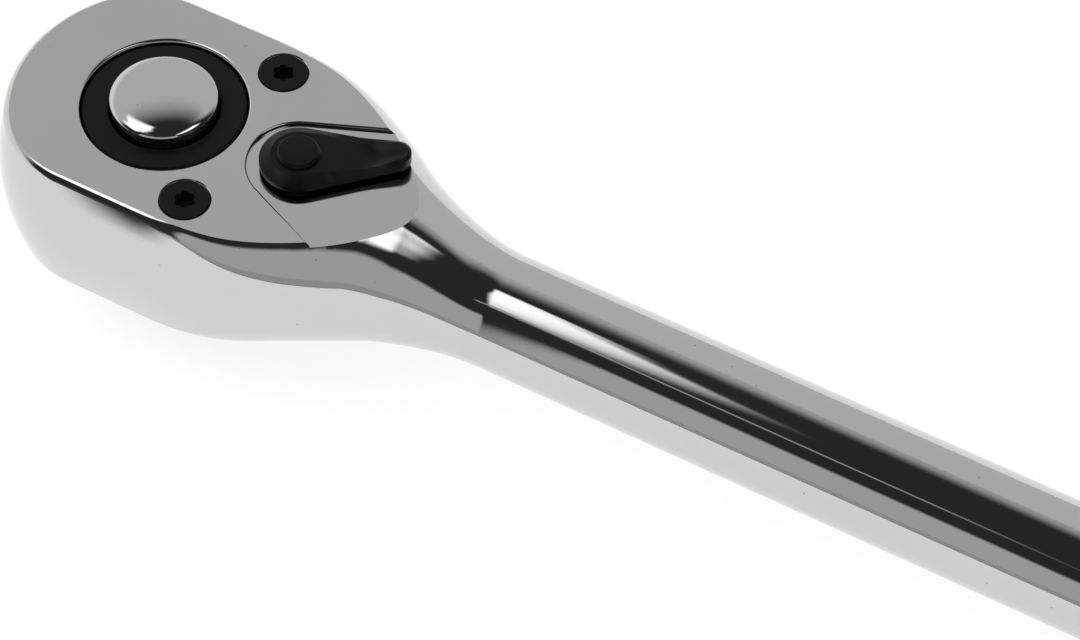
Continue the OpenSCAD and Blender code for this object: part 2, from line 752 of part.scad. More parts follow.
module selector_shaft() {
    spigot_top = rim_z - spigot_cover;
    color("#9a9da0") on_lever(0) difference() {
        union() {
            translate([0, 0, shaft_z]) cylinder(h = floor_z - shaft_z, r = shaft_r);
            translate([0, 0, floor_z - eps]) cylinder(h = spigot_top - floor_z, r = spigot_r);
        }
        translate([0, 0, clip_z - face]) ring(shaft_r - ring_depth, shaft_r + 1, ring_t + 2 * face);
        translate([0, 0, seal_z - seal_d / 2 - face])
            ring(shaft_r - seal_d - face, shaft_r + 1, seal_d + 2 * face);
        translate([follower_hole, 0, follower_z]) rotate([0, -90, 0])
            cylinder(h = far, r = follower_r + run);
    }
}

module shaft_clip() {
    color("#55585a") on_lever(clip_z) ring(shaft_r - ring_depth + seat, clip_r, ring_t);
}

module lever_seal() {
    color("#1c1c1c") on_lever(seal_z)
        rotate_extrude() translate([shaft_r - seal_d / 2, 0]) circle(d = seal_d, $fn = 32);
}

// The pawl's two arms are cut by the gear as they meet it when rocked over
module pawl_half_2d() {
    difference() {
        intersection() {
            difference() {
                circle(pawl_r);
                circle(root_r - tooth_depth);
            }
            wedge_2d(pawl_span);
            translate([0, -far]) square(far);
        }
        intersection() {
            circle(gear_r + pocket_gap);
            wedge_2d(pawl_relief);
        }
        translate([pin_x, 0]) rotate(rock) translate([-pin_x, 0]) teeth_2d(mesh_gap);
    }
}

module pawl_2d() {
    side = [cos(notch_slope), sin(notch_slope)];
    touch = [notch_x - notch_r * side[1], notch_r * side[0]];
    outer = touch + pawl_back_w * side;
    difference() {
        union() {
            pawl_half_2d();
            mirror([0, 1]) pawl_half_2d();
            translate([pin_x - pawl_lap, -pawl_back_w / 2]) square([pawl_lap + pawl_back, pawl_back_w]);
        }
        translate([notch_x, 0]) circle(notch_r);
        polygon([touch, outer, [outer[0], -outer[1]], [touch[0], -touch[1]]]);
    }
}

module pawl() {
    color("#7d8083") difference() {
        translate([pin_x, 0, pawl_z]) rotate(-rock) translate([-pin_x, 0]) linear_extrude(pawl_h) pawl_2d();
        translate([pin_x, 0, 0]) cylinder(h = far, r = pin_d / 2 + run);
    }
}

module pawl_pin() {
    color("#c4c7ca") translate([pin_x, 0, plate_top - pin_in])
        cylinder(h = roof_z - plate_top + 2 * pin_in, d = pin_d);
}

module pawl_follower() {
    color("#c4c7ca") on_lever(follower_z) {
        rotate([0, -90, 0]) translate([0, 0, follower_tip - follower_l])
            cylinder(h = follower_l - follower_r, r = follower_r);
        intersection() {
            translate([-follower_tip + follower_r, 0, 0]) sphere(r = follower_r);
            translate([-follower_tip, 0, 0]) cube([2 * follower_r + 2 * eps, far, far], center = true);
        }
    }
}

module pawl_spring() {
    length = follower_tip - follower_l + follower_hole - 2 * face;
    color("#b8bbbe") on_lever(follower_z) rotate([0, -90, 0]) translate([0, 0, face - follower_hole])
        coil(follower_r - pawl_wire / 2 - 2 * face, pawl_wire, length);
}

// Handle and lock

module handle_tube() {
    knurl_x0 = guide_place + knurl_start;
    knurl_x1 = tube_end - knurl_end;
    groove = tube_r - groove_depth;
    color("silver") difference() {
        turned_x([[tube_x, bore_r], [tube_x, tube_r - tube_bevel], [tube_x + tube_bevel, tube_r],
            [knurl_x0 - groove_w, tube_r], [knurl_x0 - groove_w, groove],
            [knurl_x0, groove], [knurl_x0, tube_r], [knurl_x1, tube_r], [knurl_x1, groove],
            [knurl_x1 + groove_w, groove], [knurl_x1 + groove_w, tube_r],
            [tube_end, tube_r], [tube_end, bore_r]]);
        along_x(tube_x - 1, tube_x + bush_l + seat, bore_r + bush_wall);
        translate([ball_place, 0, axis_z - far]) cylinder(h = far, r = lock_ball_r + run);
        translate([guide_place, 0, axis_z - far]) cylinder(h = far, r = guide_d / 2 + seat);
        for (x = ring_places) along_x_ring(x - face, x + ring_t + face, tube_r - ring_depth);
    }
}

// A groove round the tube, down to radius r
module along_x_ring(x0, x1, r) {
    difference() {
        along_x(x0, x1, far / 4);
        along_x(x0 - 1, x1 + 1, r);
    }
}

module front_bush() {
    color("#2a2a2a") difference() {
        union() {
            along_x(tube_x, tube_x + bush_l, bore_r + bush_wall - seat);
            along_x(handle_x, tube_x, tube_r - tube_bevel);
        }
        along_x(handle_x - 1, tube_x + bush_l + 1, bore_r);
    }
}

module guide_pin() {
    top = shank_r - keyway_depth + play;
    color("#c4c7ca") intersection() {
        translate([guide_place, 0, axis_z - far]) cylinder(h = far - top, d = guide_d);
        along_x(guide_place - guide_d, guide_place + guide_d, tube_r);
    }
}

module lock_collar() {
    waist = collar_r - grip_depth;
    grip_x = ball_place - collar_lip;
    color("silver") turned_x([[collar_x0, collar_bore], [collar_x0, collar_r - collar_bevel],
        [collar_x0 + collar_bevel, collar_r], [grip_x - grip_depth, collar_r], [grip_x, waist],
        [chamber_x - grip_depth, waist], [chamber_x, collar_r],
        [collar_x1 - collar_bevel, collar_r], [collar_x1, collar_r - collar_bevel], [collar_x1, chamber_r],
        [chamber_x, chamber_r], [chamber_x, collar_bore], [ball_place + cone_low, collar_bore],
        [ball_place - cone_high, recess_out], [collar_x0 + collar_lip, recess_out],
        [collar_x0 + collar_lip, collar_bore]]);
}

module lock_ball() {
    color("#c4c7ca") translate([ball_place, 0, axis_z - lock_ball_c]) sphere(r = lock_ball_r);
}

module lock_spring() {
    color("#b8bbbe") translate([chamber_x + face, 0, axis_z]) rotate([0, 90, 0])
        coil((tube_r + chamber_r) / 2, lock_wire, seat_x - chamber_x - 2 * face);
}

module spring_seat() {
    color("#55585a") difference() {
        along_x(seat_x, seat_x + seat_t, chamber_r - run);
        along_x(seat_x - 1, seat_x + seat_t + 1, tube_r + seat);
    }
}

module stop_rings() {
    color("#55585a") for (x = ring_places) difference() {
        along_x(x, x + ring_t, tube_r + ring_out);
        along_x(x - 1, x + ring_t + 1, tube_r - ring_depth + seat);
    }
}

module end_cap() {
    r = tube_r + cap_rim;
    plug_r = bore_r - seat;
    end = tube_end + cap_l;
    steps = 6;
    corner = [for (i = [0:steps]) let (a = 90 * i / steps)
        [end - cap_round + cap_round * sin(a), r - cap_round + cap_round * cos(a)]];
    color("#232526") turned_x(concat([[tube_end - cap_plug, 0], [tube_end - cap_plug, plug_r],
        [tube_end, plug_r], [tube_end, tube_r], [tube_end + cap_rim, r]], corner, [[end, 0]]));
}

ratchet_body();
cover_plate();
cover_screws();
thrust_washer();
drive_gear();
release_button();
release_plunger();
release_spring();
detent_ball();
reverse_lever();
selector_shaft();
shaft_clip();
lever_seal();
pawl();
pawl_pin();
pawl_follower();
pawl_spring();
handle_tube();
front_bush();
guide_pin();
lock_collar();
lock_ball();
lock_spring();
spring_seat();
stop_rings();
end_cap();
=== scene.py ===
import json
import math

import bmesh
import bpy
import numpy as np
from mathutils import Matrix, Vector

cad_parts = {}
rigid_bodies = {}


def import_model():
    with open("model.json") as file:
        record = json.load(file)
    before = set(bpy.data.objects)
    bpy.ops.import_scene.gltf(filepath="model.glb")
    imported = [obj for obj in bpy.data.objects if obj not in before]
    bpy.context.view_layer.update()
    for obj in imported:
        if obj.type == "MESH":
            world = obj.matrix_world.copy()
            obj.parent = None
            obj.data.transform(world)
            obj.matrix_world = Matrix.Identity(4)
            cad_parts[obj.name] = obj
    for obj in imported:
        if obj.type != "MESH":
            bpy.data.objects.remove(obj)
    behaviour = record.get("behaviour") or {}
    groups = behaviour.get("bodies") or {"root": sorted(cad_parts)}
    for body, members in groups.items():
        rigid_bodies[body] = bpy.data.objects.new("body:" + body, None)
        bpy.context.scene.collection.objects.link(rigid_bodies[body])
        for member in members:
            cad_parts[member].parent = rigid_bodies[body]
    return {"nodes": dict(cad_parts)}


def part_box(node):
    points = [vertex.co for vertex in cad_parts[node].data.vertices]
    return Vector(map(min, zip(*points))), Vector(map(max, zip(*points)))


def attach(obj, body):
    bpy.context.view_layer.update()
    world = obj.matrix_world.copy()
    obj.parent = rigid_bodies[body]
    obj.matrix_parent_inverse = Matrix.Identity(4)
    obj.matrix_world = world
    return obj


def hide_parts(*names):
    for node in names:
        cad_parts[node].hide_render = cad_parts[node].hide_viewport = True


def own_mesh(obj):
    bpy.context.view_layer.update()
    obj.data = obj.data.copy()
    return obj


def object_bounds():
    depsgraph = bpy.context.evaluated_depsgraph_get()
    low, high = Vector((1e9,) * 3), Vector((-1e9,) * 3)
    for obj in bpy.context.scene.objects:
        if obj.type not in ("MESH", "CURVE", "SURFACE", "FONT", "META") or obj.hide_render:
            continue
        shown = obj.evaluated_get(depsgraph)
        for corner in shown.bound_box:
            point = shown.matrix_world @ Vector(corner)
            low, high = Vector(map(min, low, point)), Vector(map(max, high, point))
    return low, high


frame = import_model()
cadLow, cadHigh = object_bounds()
scene = bpy.context.scene
scene.view_settings.view_transform = "Standard"
mm = 0.001  # all sizes below are in millimetres
rad = math.radians
past = 1.0  # how far a cutter goes beyond the face that it enters


def corners(node):  # lowest and highest corner of a node, in millimetres
    low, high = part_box(node)
    return np.array(low) / mm, np.array(high) / mm


bodyLow, bodyHigh = corners("ratchet_body")
tubeLow, tubeHigh = corners("handle_tube")
topZ = bodyHigh[2]
axisZ = (tubeLow[2] + tubeHigh[2]) / 2
leverX = (corners("selector_shaft")[0][0] + corners("selector_shaft")[1][0]) / 2


# Mesh helpers

def makeObject(name, points, faces):
    mesh = bpy.data.meshes.new(name)
    mesh.from_pydata((np.array(points, float) * mm).tolist(), [], faces)
    obj = bpy.data.objects.new(name, mesh)
    scene.collection.objects.link(obj)
    return obj


def weld(obj, distance=0.0005):  # merges doubles and turns the faces outwards
    bm = bmesh.new()
    bm.from_mesh(obj.data)
    bmesh.ops.remove_doubles(bm, verts=bm.verts, dist=distance * mm)
    bmesh.ops.dissolve_degenerate(bm, edges=bm.edges, dist=distance * mm)
    bmesh.ops.recalc_face_normals(bm, faces=bm.faces)
    bm.to_mesh(obj.data)
    bm.free()


def roundCorners(profile, radius, steps):
    # swaps each corner between a profile's ends for a small arc, kept within its two edges
    straight = rad(82)  # half angle from which a corner counts as straight
    share = 0.45  # most of an edge that one arc takes up
    done = [profile[0]]
    for before, corner, after in zip(profile, profile[1:], profile[2:]):
        p = np.array(corner, float)
        a, b = np.array(before, float) - p, np.array(after, float) - p
        la, lb = np.linalg.norm(a), np.linalg.norm(b)
        a, b = a / la, b / lb
        half = math.acos(max(-1.0, min(1.0, float(a @ b)))) / 2
        if half > straight:
            done.append(corner)
            continue
        reach = min(radius / math.tan(half), share * la, share * lb)
        r = reach * math.tan(half)
        middle = p + (a + b) / np.linalg.norm(a + b) * r / math.sin(half)
        start, end = p + a * reach - middle, p + b * reach - middle
        turn = math.atan2(start[0] * end[1] - start[1] * end[0], float(start @ end))
        for k in range(steps + 1):
            t = turn * k / steps
            c, s = math.cos(t), math.sin(t)
            done.append((middle[0] + c * start[0] - s * start[1], middle[1] + s * start[0] + c * start[1]))
    return done + [profile[-1]]


def skin(name, rings, lids=()):  # faces between rings of points, and a lid on each ring that lids names
    n = len(rings[0])
    points = [point for ring in rings for point in ring]
    faces = []
    for low in range(0, len(points) - n, n):
        faces += [(low + k, low + (k + 1) % n, low + n + (k + 1) % n, low + n + k) for k in range(n)]
    faces += [tuple(range(i * n, (i + 1) * n)) for i in lids]
    obj = makeObject(name, points, faces)
    weld(obj)
    return obj


def turnedRings(profile, place, axis, around):  # profile holds [distance along the axis, radius]
    rings = []
    for along, radius in profile:
        ring = []
        for k in range(around):
            a = 2 * math.pi * k / around
            u, v = radius * math.cos(a), radius * math.sin(a)
            ring.append((along, u, v) if axis == "x" else (u, v, along))
        rings.append(np.array(ring) + np.array(place, float))
    return rings


def turned(name, profile, place=(0, 0, 0), around=96):  # about an upright axis that the profile ends on
    return skin(name, turnedRings(profile, place, "z", around))


def rod(name, r, low, high, x, around=96):
    return turned(name, [(low, 0), (low, r), (high, r), (high, 0)], (x, 0, 0), around)


def stack(name, layers):  # layers of [outline, height], all with the same count of points
    rings = [[(x, y, z) for x, y in outline] for outline, z in layers]
    return skin(name, rings, (0, len(rings) - 1))


def prism(name, outline, low, high):
    return stack(name, [(outline, low), (outline, high)])


def arc(cx, cy, r, start, end, steps):
    angles = np.linspace(rad(start), rad(end), steps + 1)
    return [(cx + r * math.cos(a), cy + r * math.sin(a)) for a in angles]


def linkOutline(r1, r2, reach, steps):  # two circles and their outer tangents, like a lever seen from above
    lean = math.degrees(math.asin((r1 - r2) / reach))
    tip = arc(reach, 0, r2, -90 + lean, 90 - lean, steps // 2)
    return arc(0, 0, r1, 90 - lean, 270 + lean, steps) + tip


def settle(obj):  # bakes the modifiers into a plain mesh
    depsgraph = bpy.context.evaluated_depsgraph_get()
    mesh = bpy.data.meshes.new_from_object(obj.evaluated_get(depsgraph))
    obj.modifiers.clear()
    obj.data = mesh


def carve(obj, tools, how="DIFFERENCE"):
    for tool in tools:
        step = obj.modifiers.new("carve", "BOOLEAN")
        step.operation = how
        step.solver = "MANIFOLD"
        step.material_mode = "TRANSFER"
        step.object = tool
        settle(obj)
        bpy.data.objects.remove(tool)


def polish(obj, crisp=32):  # smooth shading that keeps flats flat, and edges past the crisp angle sharp
    obj.data.shade_smooth()
    obj.data.set_sharp_from_angle(angle=rad(crisp))
    even = obj.modifiers.new("even", "WEIGHTED_NORMAL")
    even.keep_sharp = True


def keepFinishEdges(mesh):  # edges between two finishes stay crisp
    finish = {}
    for face in mesh.polygons:
        for key in face.edge_keys:
            finish.setdefault(key, set()).add(face.material_index)
    for edge in mesh.edges:
        if len(finish.get(edge.key, ())) > 1:
            edge.use_edge_sharp = True


def bevelEdges(obj, width, segments, angle):
    soft = obj.modifiers.new("edges", "BEVEL")
    soft.width = width * mm
    soft.segments = segments
    soft.limit_method = "ANGLE"
    soft.angle_limit = rad(angle)
    settle(obj)


def paint(obj, *materials):
    obj.data.materials.clear()
    for material in materials:
        obj.data.materials.append(material)


def fit(obj, body, node):  # puts a finished piece on its body in place of its CAD node
    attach(obj, body)
    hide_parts(node)
    return obj


# Node helpers

def wire(tree, value, socket):  # an output is linked, a number or colour goes straight on the socket
    if isinstance(value, bpy.types.NodeSocket):
        tree.links.new(value, socket)
    else:
        socket.default_value = value


def addNode(tree, kind, inputs=None, **settings):
    node = tree.nodes.new(kind)
    for key, value in settings.items():
        setattr(node, key, value)
    for label, value in (inputs or {}).items():
        wire(tree, value, node.inputs[label])
    return node


def maths(tree, operation, *values):
    node = addNode(tree, "ShaderNodeMath", operation=operation)
    for socket, value in zip(node.inputs, values):
        wire(tree, value, socket)
    return node.outputs[0]


# Materials

def makeGroup(name, inputs, outputs):
    tree = bpy.data.node_groups.new(name, "ShaderNodeTree")
    for label, value in inputs.items():
        socket = tree.interface.new_socket(label, in_out="INPUT", socket_type="NodeSocketFloat")
        socket.default_value = value
    for label in outputs:
        tree.interface.new_socket(label, in_out="OUTPUT", socket_type="NodeSocketFloat")
    return tree, tree.nodes.new("NodeGroupInput").outputs, tree.nodes.new("NodeGroupOutput").inputs


def handlingMarksGroup():
    # soft smudges for the roughness and small dark specks
    tree, entry, leave = makeGroup(
        "handlingMarks", {"Smudge Scale": 60, "Speck Scale": 900, "Speck Size": 0.05}, ["Smudge", "Speck"])
    place = addNode(tree, "ShaderNodeTexCoord").outputs["Object"]
    cloud = addNode(tree, "ShaderNodeTexNoise", {
        "Vector": place, "Scale": entry["Smudge Scale"], "Detail": 4})
    cells = addNode(tree, "ShaderNodeTexVoronoi", {"Vector": place, "Scale": entry["Speck Scale"]})
    near = maths(tree, "LESS_THAN", cells.outputs["Distance"], entry["Speck Size"])
    tree.links.new(cloud.outputs["Fac"], leave["Smudge"])
    tree.links.new(near, leave["Speck"])
    return tree


def fineGrainGroup():
    # small even relief, as on blasted or moulded surfaces
    tree, entry, leave = makeGroup(
        "fineGrain", {"Grain Scale": 3000, "Wave Scale": 120, "Wave Share": 0.5}, ["Height"])
    place = addNode(tree, "ShaderNodeTexCoord").outputs["Object"]
    grain = addNode(tree, "ShaderNodeTexNoise", {"Vector": place, "Scale": entry["Grain Scale"]})
    wave = addNode(tree, "ShaderNodeTexNoise", {"Vector": place, "Scale": entry["Wave Scale"], "Detail": 1})
    blend = addNode(tree, "ShaderNodeMix", {
        "Factor": entry["Wave Share"], "A": grain.outputs["Fac"], "B": wave.outputs["Fac"]})
    tree.links.new(blend.outputs["Result"], leave["Height"])
    return tree


handlingMarks = handlingMarksGroup()
fineGrain = fineGrainGroup()
smudgeSpan = (0.3, 0.7)  # where most of the smudge values lie


def makeFinish(look):
    # one metal, plastic or rubber finish from its own dictionary
    material = bpy.data.materials.new(look["name"])
    material.use_nodes = True
    tree = material.node_tree
    marks = addNode(tree, "ShaderNodeGroup", {
        "Smudge Scale": look["smudgeScale"], "Speck Scale": look["speckScale"],
        "Speck Size": look["speckSize"]}, node_tree=handlingMarks).outputs
    rough = addNode(tree, "ShaderNodeMapRange", {
        "Value": marks["Smudge"], "From Min": smudgeSpan[0], "From Max": smudgeSpan[1],
        "To Min": look["rough"][0], "To Max": look["rough"][1]})
    tint = addNode(tree, "ShaderNodeMix", {
        "Factor": marks["Smudge"], "A": (*look["colour"], 1), "B": (*look["colourWorn"], 1),
    }, data_type="RGBA")
    spot = addNode(tree, "ShaderNodeMix", {
        "Factor": marks["Speck"], "A": tint.outputs["Result"], "B": (*look["speckColour"], 1),
    }, data_type="RGBA")
    relief = addNode(tree, "ShaderNodeGroup", {
        "Grain Scale": look["grainScale"], "Wave Scale": look["waveScale"], "Wave Share": look["waveShare"],
    }, node_tree=fineGrain)
    bump = addNode(tree, "ShaderNodeBump", {
        "Strength": look["bump"], "Distance": look["bumpDepth"] * mm, "Height": relief.outputs["Height"]})
    shader = tree.nodes["Principled BSDF"]
    for label, value in (
            ("Metallic", look["metallic"]), ("IOR", look["ior"]), ("Specular IOR Level", look["specular"]),
            ("Base Color", spot.outputs["Result"]), ("Roughness", rough.outputs["Result"]),
            ("Normal", bump.outputs["Normal"])):
        wire(tree, value, shader.inputs[label])
    return material


chromeLook = dict(
    name="polishedChrome", metallic=1.0, ior=1.5, specular=0.5, colour=(0.565, 0.575, 0.56),
    colourWorn=(0.6, 0.605, 0.59), speckColour=(0.3, 0.3, 0.29), smudgeScale=45, speckScale=260,
    speckSize=0.035, rough=(0.025, 0.06), grainScale=1500, waveScale=70, waveShare=0.9, bump=0.05,
    bumpDepth=0.12)
groundLook = dict(
    chromeLook, name="groundChrome", colour=(0.5, 0.515, 0.495), colourWorn=(0.56, 0.57, 0.55),
    rough=(0.09, 0.15), waveScale=110, bump=0.06)
satinLook = dict(
    chromeLook, name="satinChrome", colour=(0.5, 0.5, 0.49), colourWorn=(0.56, 0.56, 0.55), rough=(0.2, 0.3),
    grainScale=2500, waveShare=0.4, bump=0.1)
blackSteelLook = dict(
    name="blackSteel", metallic=0.0, ior=1.5, specular=0.15, colour=(0.003, 0.003, 0.0028),
    colourWorn=(0.005, 0.0048, 0.0046), speckColour=(0.02, 0.019, 0.018), smudgeScale=90, speckScale=700,
    speckSize=0.05, rough=(0.26, 0.38), grainScale=2600, waveScale=300, waveShare=0.35, bump=0.12,
    bumpDepth=0.05)
steelLook = dict(
    name="bareSteel", metallic=1.0, ior=1.5, specular=0.5, colour=(0.42, 0.42, 0.41),
    colourWorn=(0.5, 0.5, 0.49), speckColour=(0.2, 0.19, 0.18), smudgeScale=120, speckScale=600,
    speckSize=0.06, rough=(0.18, 0.3), grainScale=3000, waveScale=300, waveShare=0.3, bump=0.08,
    bumpDepth=0.04)
springLook = dict(
    steelLook, name="springSteel", colour=(0.25, 0.25, 0.25), colourWorn=(0.33, 0.33, 0.33),
    rough=(0.28, 0.4))
bronzeLook = dict(
    steelLook, name="bronze", colour=(0.45, 0.26, 0.11), colourWorn=(0.52, 0.31, 0.14),
    speckColour=(0.2, 0.11, 0.05))
rubberLook = dict(
    blackSteelLook, name="blackRubber", specular=0.3, colour=(0.014, 0.014, 0.014),
    colourWorn=(0.022, 0.022, 0.022), rough=(0.6, 0.75), bump=0.2)
plasticLook = dict(
    blackSteelLook, name="blackPlastic", specular=0.4, colour=(0.017, 0.017, 0.018),
    colourWorn=(0.024, 0.024, 0.025), rough=(0.42, 0.55), grainScale=1800, waveShare=0.15, bump=0.22,
    bumpDepth=0.06)

polishedChrome = makeFinish(chromeLook)
groundChrome = makeFinish(groundLook)
satinChrome = makeFinish(satinLook)
blackSteel = makeFinish(blackSteelLook)
bareSteel = makeFinish(steelLook)
springSteel = makeFinish(springLook)
bronze = makeFinish(bronzeLook)
blackRubber = makeFinish(rubberLook)
blackPlastic = makeFinish(plasticLook)
print("finishes made")


# Forged head, neck and shank

forging = dict(
    headFront=24.4, headWidth=40.8, headHeight=bodyHigh[2] - bodyLow[2], cornerRadius=16.0, edgeRadius=1.2,
    sideBulge=2.0, bulgeStart=9.0, bulgeEnd=43.5, neckStart=18.5, neckEnd=60.0, roundStart=8.0,
    neckRound=45.5, headRise=0.12, crownRise=2.7, crownX=31.5, shankDiameter=18.2, bellyStart=34.4,
    endChamfer=1.0, leastFlat=0.05, blend=2.5, frontSteps=72, neckSteps=170, shankSteps=40, arcSteps=26,
    sideRows=9)


def smooth(u):
    t = min(max(u, 0.0), 1.0)
    return t * t * (3 - 2 * t)


def softLeast(a, b, blend):  # the lesser of two values, with a rounded change from one to the other
    near = max(blend - abs(a - b), 0.0) / blend
    return min(a, b) - near * near * blend / 4


def forgedSection(x, w):
    # half section of the forging before it is milled: [distance from the middle, height over the top face]
    f = forging
    shankR = f["shankDiameter"] / 2
    topFall = topZ - axisZ - shankR
    bellyRise = axisZ - shankR - bodyLow[2]
    if x < f["crownX"]:
        climb = smooth((x - f["roundStart"]) / (f["crownX"] - f["roundStart"]))
        crown = f["headRise"] + (f["crownRise"] - f["headRise"]) * climb
    else:
        fall = smooth((x - f["crownX"]) / (f["neckEnd"] - f["crownX"]))
        crown = f["crownRise"] - (f["crownRise"] + topFall) * fall
    rise = smooth((x - f["bellyStart"]) / (f["neckEnd"] - f["bellyStart"]))
    belly = -f["headHeight"] + bellyRise * rise
    turn = smooth((x - f["roundStart"]) / (f["neckRound"] - f["roundStart"]))
    r = min(f["edgeRadius"] + (w - f["edgeRadius"]) * turn, w - f["leastFlat"])
    v = softLeast(r, (crown - belly) / 2 - f["leastFlat"], f["blend"])
    half, middle = (crown - belly) / 2, (crown + belly) / 2
    section = []
    for i in range(f["arcSteps"] + 1):
        a = math.pi / 2 * (1 - i / f["arcSteps"])
        section.append((w - r + r * math.cos(a), crown - v + v * math.sin(a)))
    for i in range(1, f["sideRows"] + 1):
        section.append((w, middle + (half - v) * (1 - 2 * i / (f["sideRows"] + 1))))
    for i in range(f["arcSteps"] + 1):
        a = -math.pi / 2 * i / f["arcSteps"]
        section.append((w - r + r * math.cos(a), belly + v + v * math.sin(a)))
    bulge = f["sideBulge"] * (1 - smooth((x - f["bulgeStart"]) / (f["bulgeEnd"] - f["bulgeStart"])))
    return [(d + bulge * (1 - ((h - middle) / half) ** 2), h) for d, h in section]


def neckHalfWidth(x):  # two tangent arcs from the head's side to the shank
    f = forging
    wide, slim = f["headWidth"] / 2, f["shankDiameter"] / 2
    length, drop = f["neckEnd"] - f["neckStart"], wide - slim
    r = (length ** 2 + drop ** 2) / (4 * drop)
    if x <= f["neckStart"]:
        return wide
    if x >= f["neckEnd"]:
        return slim
    if x < (f["neckStart"] + f["neckEnd"]) / 2:
        return wide - r + math.sqrt(r * r - (x - f["neckStart"]) ** 2)
    return slim + r - math.sqrt(r * r - (f["neckEnd"] - x) ** 2)


def headReach(a):  # distance from the drive axis to the head's outline: front arc, corner arc, flat side
    f = forging
    cornerY = f["headWidth"] / 2 - f["cornerRadius"]
    cornerD = f["headFront"] - f["cornerRadius"]
    cornerX = -math.sqrt(cornerD ** 2 - cornerY ** 2)
    if a >= math.atan2(cornerY, cornerX):
        return f["headFront"]
    p = cornerX * math.cos(a) + cornerY * math.sin(a)
    r = p + math.sqrt(f["cornerRadius"] ** 2 - cornerD ** 2 + p * p)
    return f["headWidth"] / 2 / math.sin(a) if r * math.cos(a) > cornerX else r


def forgedLoft():
    f = forging
    rings = []

    def addRing(section, spot):  # one side from top to belly, then the other side back up
        rings.append([spot(d, 1) + (topZ + h,) for d, h in section]
                     + [spot(d, -1) + (topZ + h,) for d, h in reversed(section)])

    for i in range(f["frontSteps"] + 1):
        a = math.pi - math.pi / 2 * i / f["frontSteps"]
        w = headReach(a)
        addRing(forgedSection(min(w * math.cos(a), 0), w),
                lambda d, side, a=a: (d * math.cos(a), side * d * math.sin(a)))
    for i in range(1, f["neckSteps"] + 1):
        x = f["neckEnd"] * i / f["neckSteps"]
        addRing(forgedSection(x, neckHalfWidth(x)), lambda d, side, x=x: (x, side * d))
    shankEnd = bodyHigh[0] - f["endChamfer"]
    shankR = f["shankDiameter"] / 2
    for i in range(1, f["shankSteps"] + 1):
        x = f["neckEnd"] + (shankEnd - f["neckEnd"]) * i / f["shankSteps"]
        addRing(forgedSection(f["neckEnd"], shankR), lambda d, side, x=x: (x, side * d))
    ring = np.array(rings[-1])
    shrink = (shankR - f["endChamfer"]) / shankR
    ring[:, 0] = bodyHigh[0]
    ring[:, 1] *= shrink
    ring[:, 2] = axisZ + (ring[:, 2] - axisZ) * shrink
    rings.append(ring)
    return skin("forgedBody", rings, [len(rings) - 1])


cuts = dict(
    millBack=-60.0, millFront=80.0, millHalf=60.0, millHeight=5.0, boreR=13.0, boreEdge=0.6,
    recessR=8.0, recessAngle=23.5, recessReach=60.0, recessDepth=0.6, recessEdge=0.45, edgeAngle=78,
    selectorR=4.08, screwX=12.7, screwY=14.6, screwHoleR=2.2, screwHeadR=4.06, screwSinkR=2.03,
    plateR=22.03, plateHalf=18.03, plateTop=4.5, tongueR=8.43, tongueAngle=22.0, overlap=0.01, pocketR=14.9,
    roof=16.2, pawlRoomR=20.4, pawlRoomSpan=36.5, pawlPinX=16.7, pawlBackR=6.4, clipRoomR=5.4, pinR=1.28,
    pinTop=17.8, keywayWidth=5.2, keywayDepth=1.5, keywayStart=77.3, keywayEnd=250.65,
    dimpleR=2.58, dimpleDrop=9.0, dimpleFirst=80.0, dimpleStep=23.0, dimples=7)


def recessOutline(grow):  # round end and two straight sides that open towards the handle
    c = cuts
    a = 90 + c["recessAngle"]
    outline = arc(leverX, 0, c["recessR"] + grow, a, 360 - a, steps=72)
    dx = c["recessReach"] * math.cos(rad(c["recessAngle"]))
    dy = c["recessReach"] * math.sin(rad(c["recessAngle"]))
    first, last = outline[0], outline[-1]
    return outline + [(last[0] + dx, last[1] - dy), (first[0] + dx, first[1] + dy)]


def roundedEdge(r, steps=6):
    # soft edge of a cut in the top face: [distance outwards, height over the face], and on past the face
    angles = [rad(cuts["edgeAngle"]) * i / steps for i in range(steps + 1)]
    edge = [(r - r * math.cos(a), r * math.sin(a) - r) for a in angles]
    return edge + [(edge[-1][0] + r, edge[-1][1] + r / math.tan(angles[-1]))]


def topTools():  # cutters that enter the forging from above
    c = cuts
    low, over = bodyLow[2] - past, topZ + c["millHeight"]
    back, front, half = c["millBack"], c["millFront"], c["millHalf"]
    tools = [prism("mill", [(back, -half), (front, -half), (front, half), (back, half)], topZ, over)]
    edge = [(topZ + h, c["boreR"] + d) for d, h in roundedEdge(c["boreEdge"])]
    tools.append(turned("bore", [(low, 0), (low, c["boreR"])] + edge + [(edge[-1][0], 0)], around=192))
    tools.append(stack("recess", [(recessOutline(0), topZ - c["recessDepth"])]
                       + [(recessOutline(d), topZ + h) for d, h in roundedEdge(c["recessEdge"])]))
    tools.append(rod("selectorBore", c["selectorR"], low, over, leverX, around=64))
    sinkZ = topZ - (c["screwHeadR"] - c["screwSinkR"])
    hole = [(low, 0), (low, c["screwHoleR"]), (sinkZ, c["screwHoleR"]), (sinkZ, c["screwSinkR"]),
            (topZ + past, c["screwHeadR"] + past), (topZ + past, 0)]
    return tools + [turned("screwHole", hole, (c["screwX"], side * c["screwY"], 0)) for side in (-1, 1)]


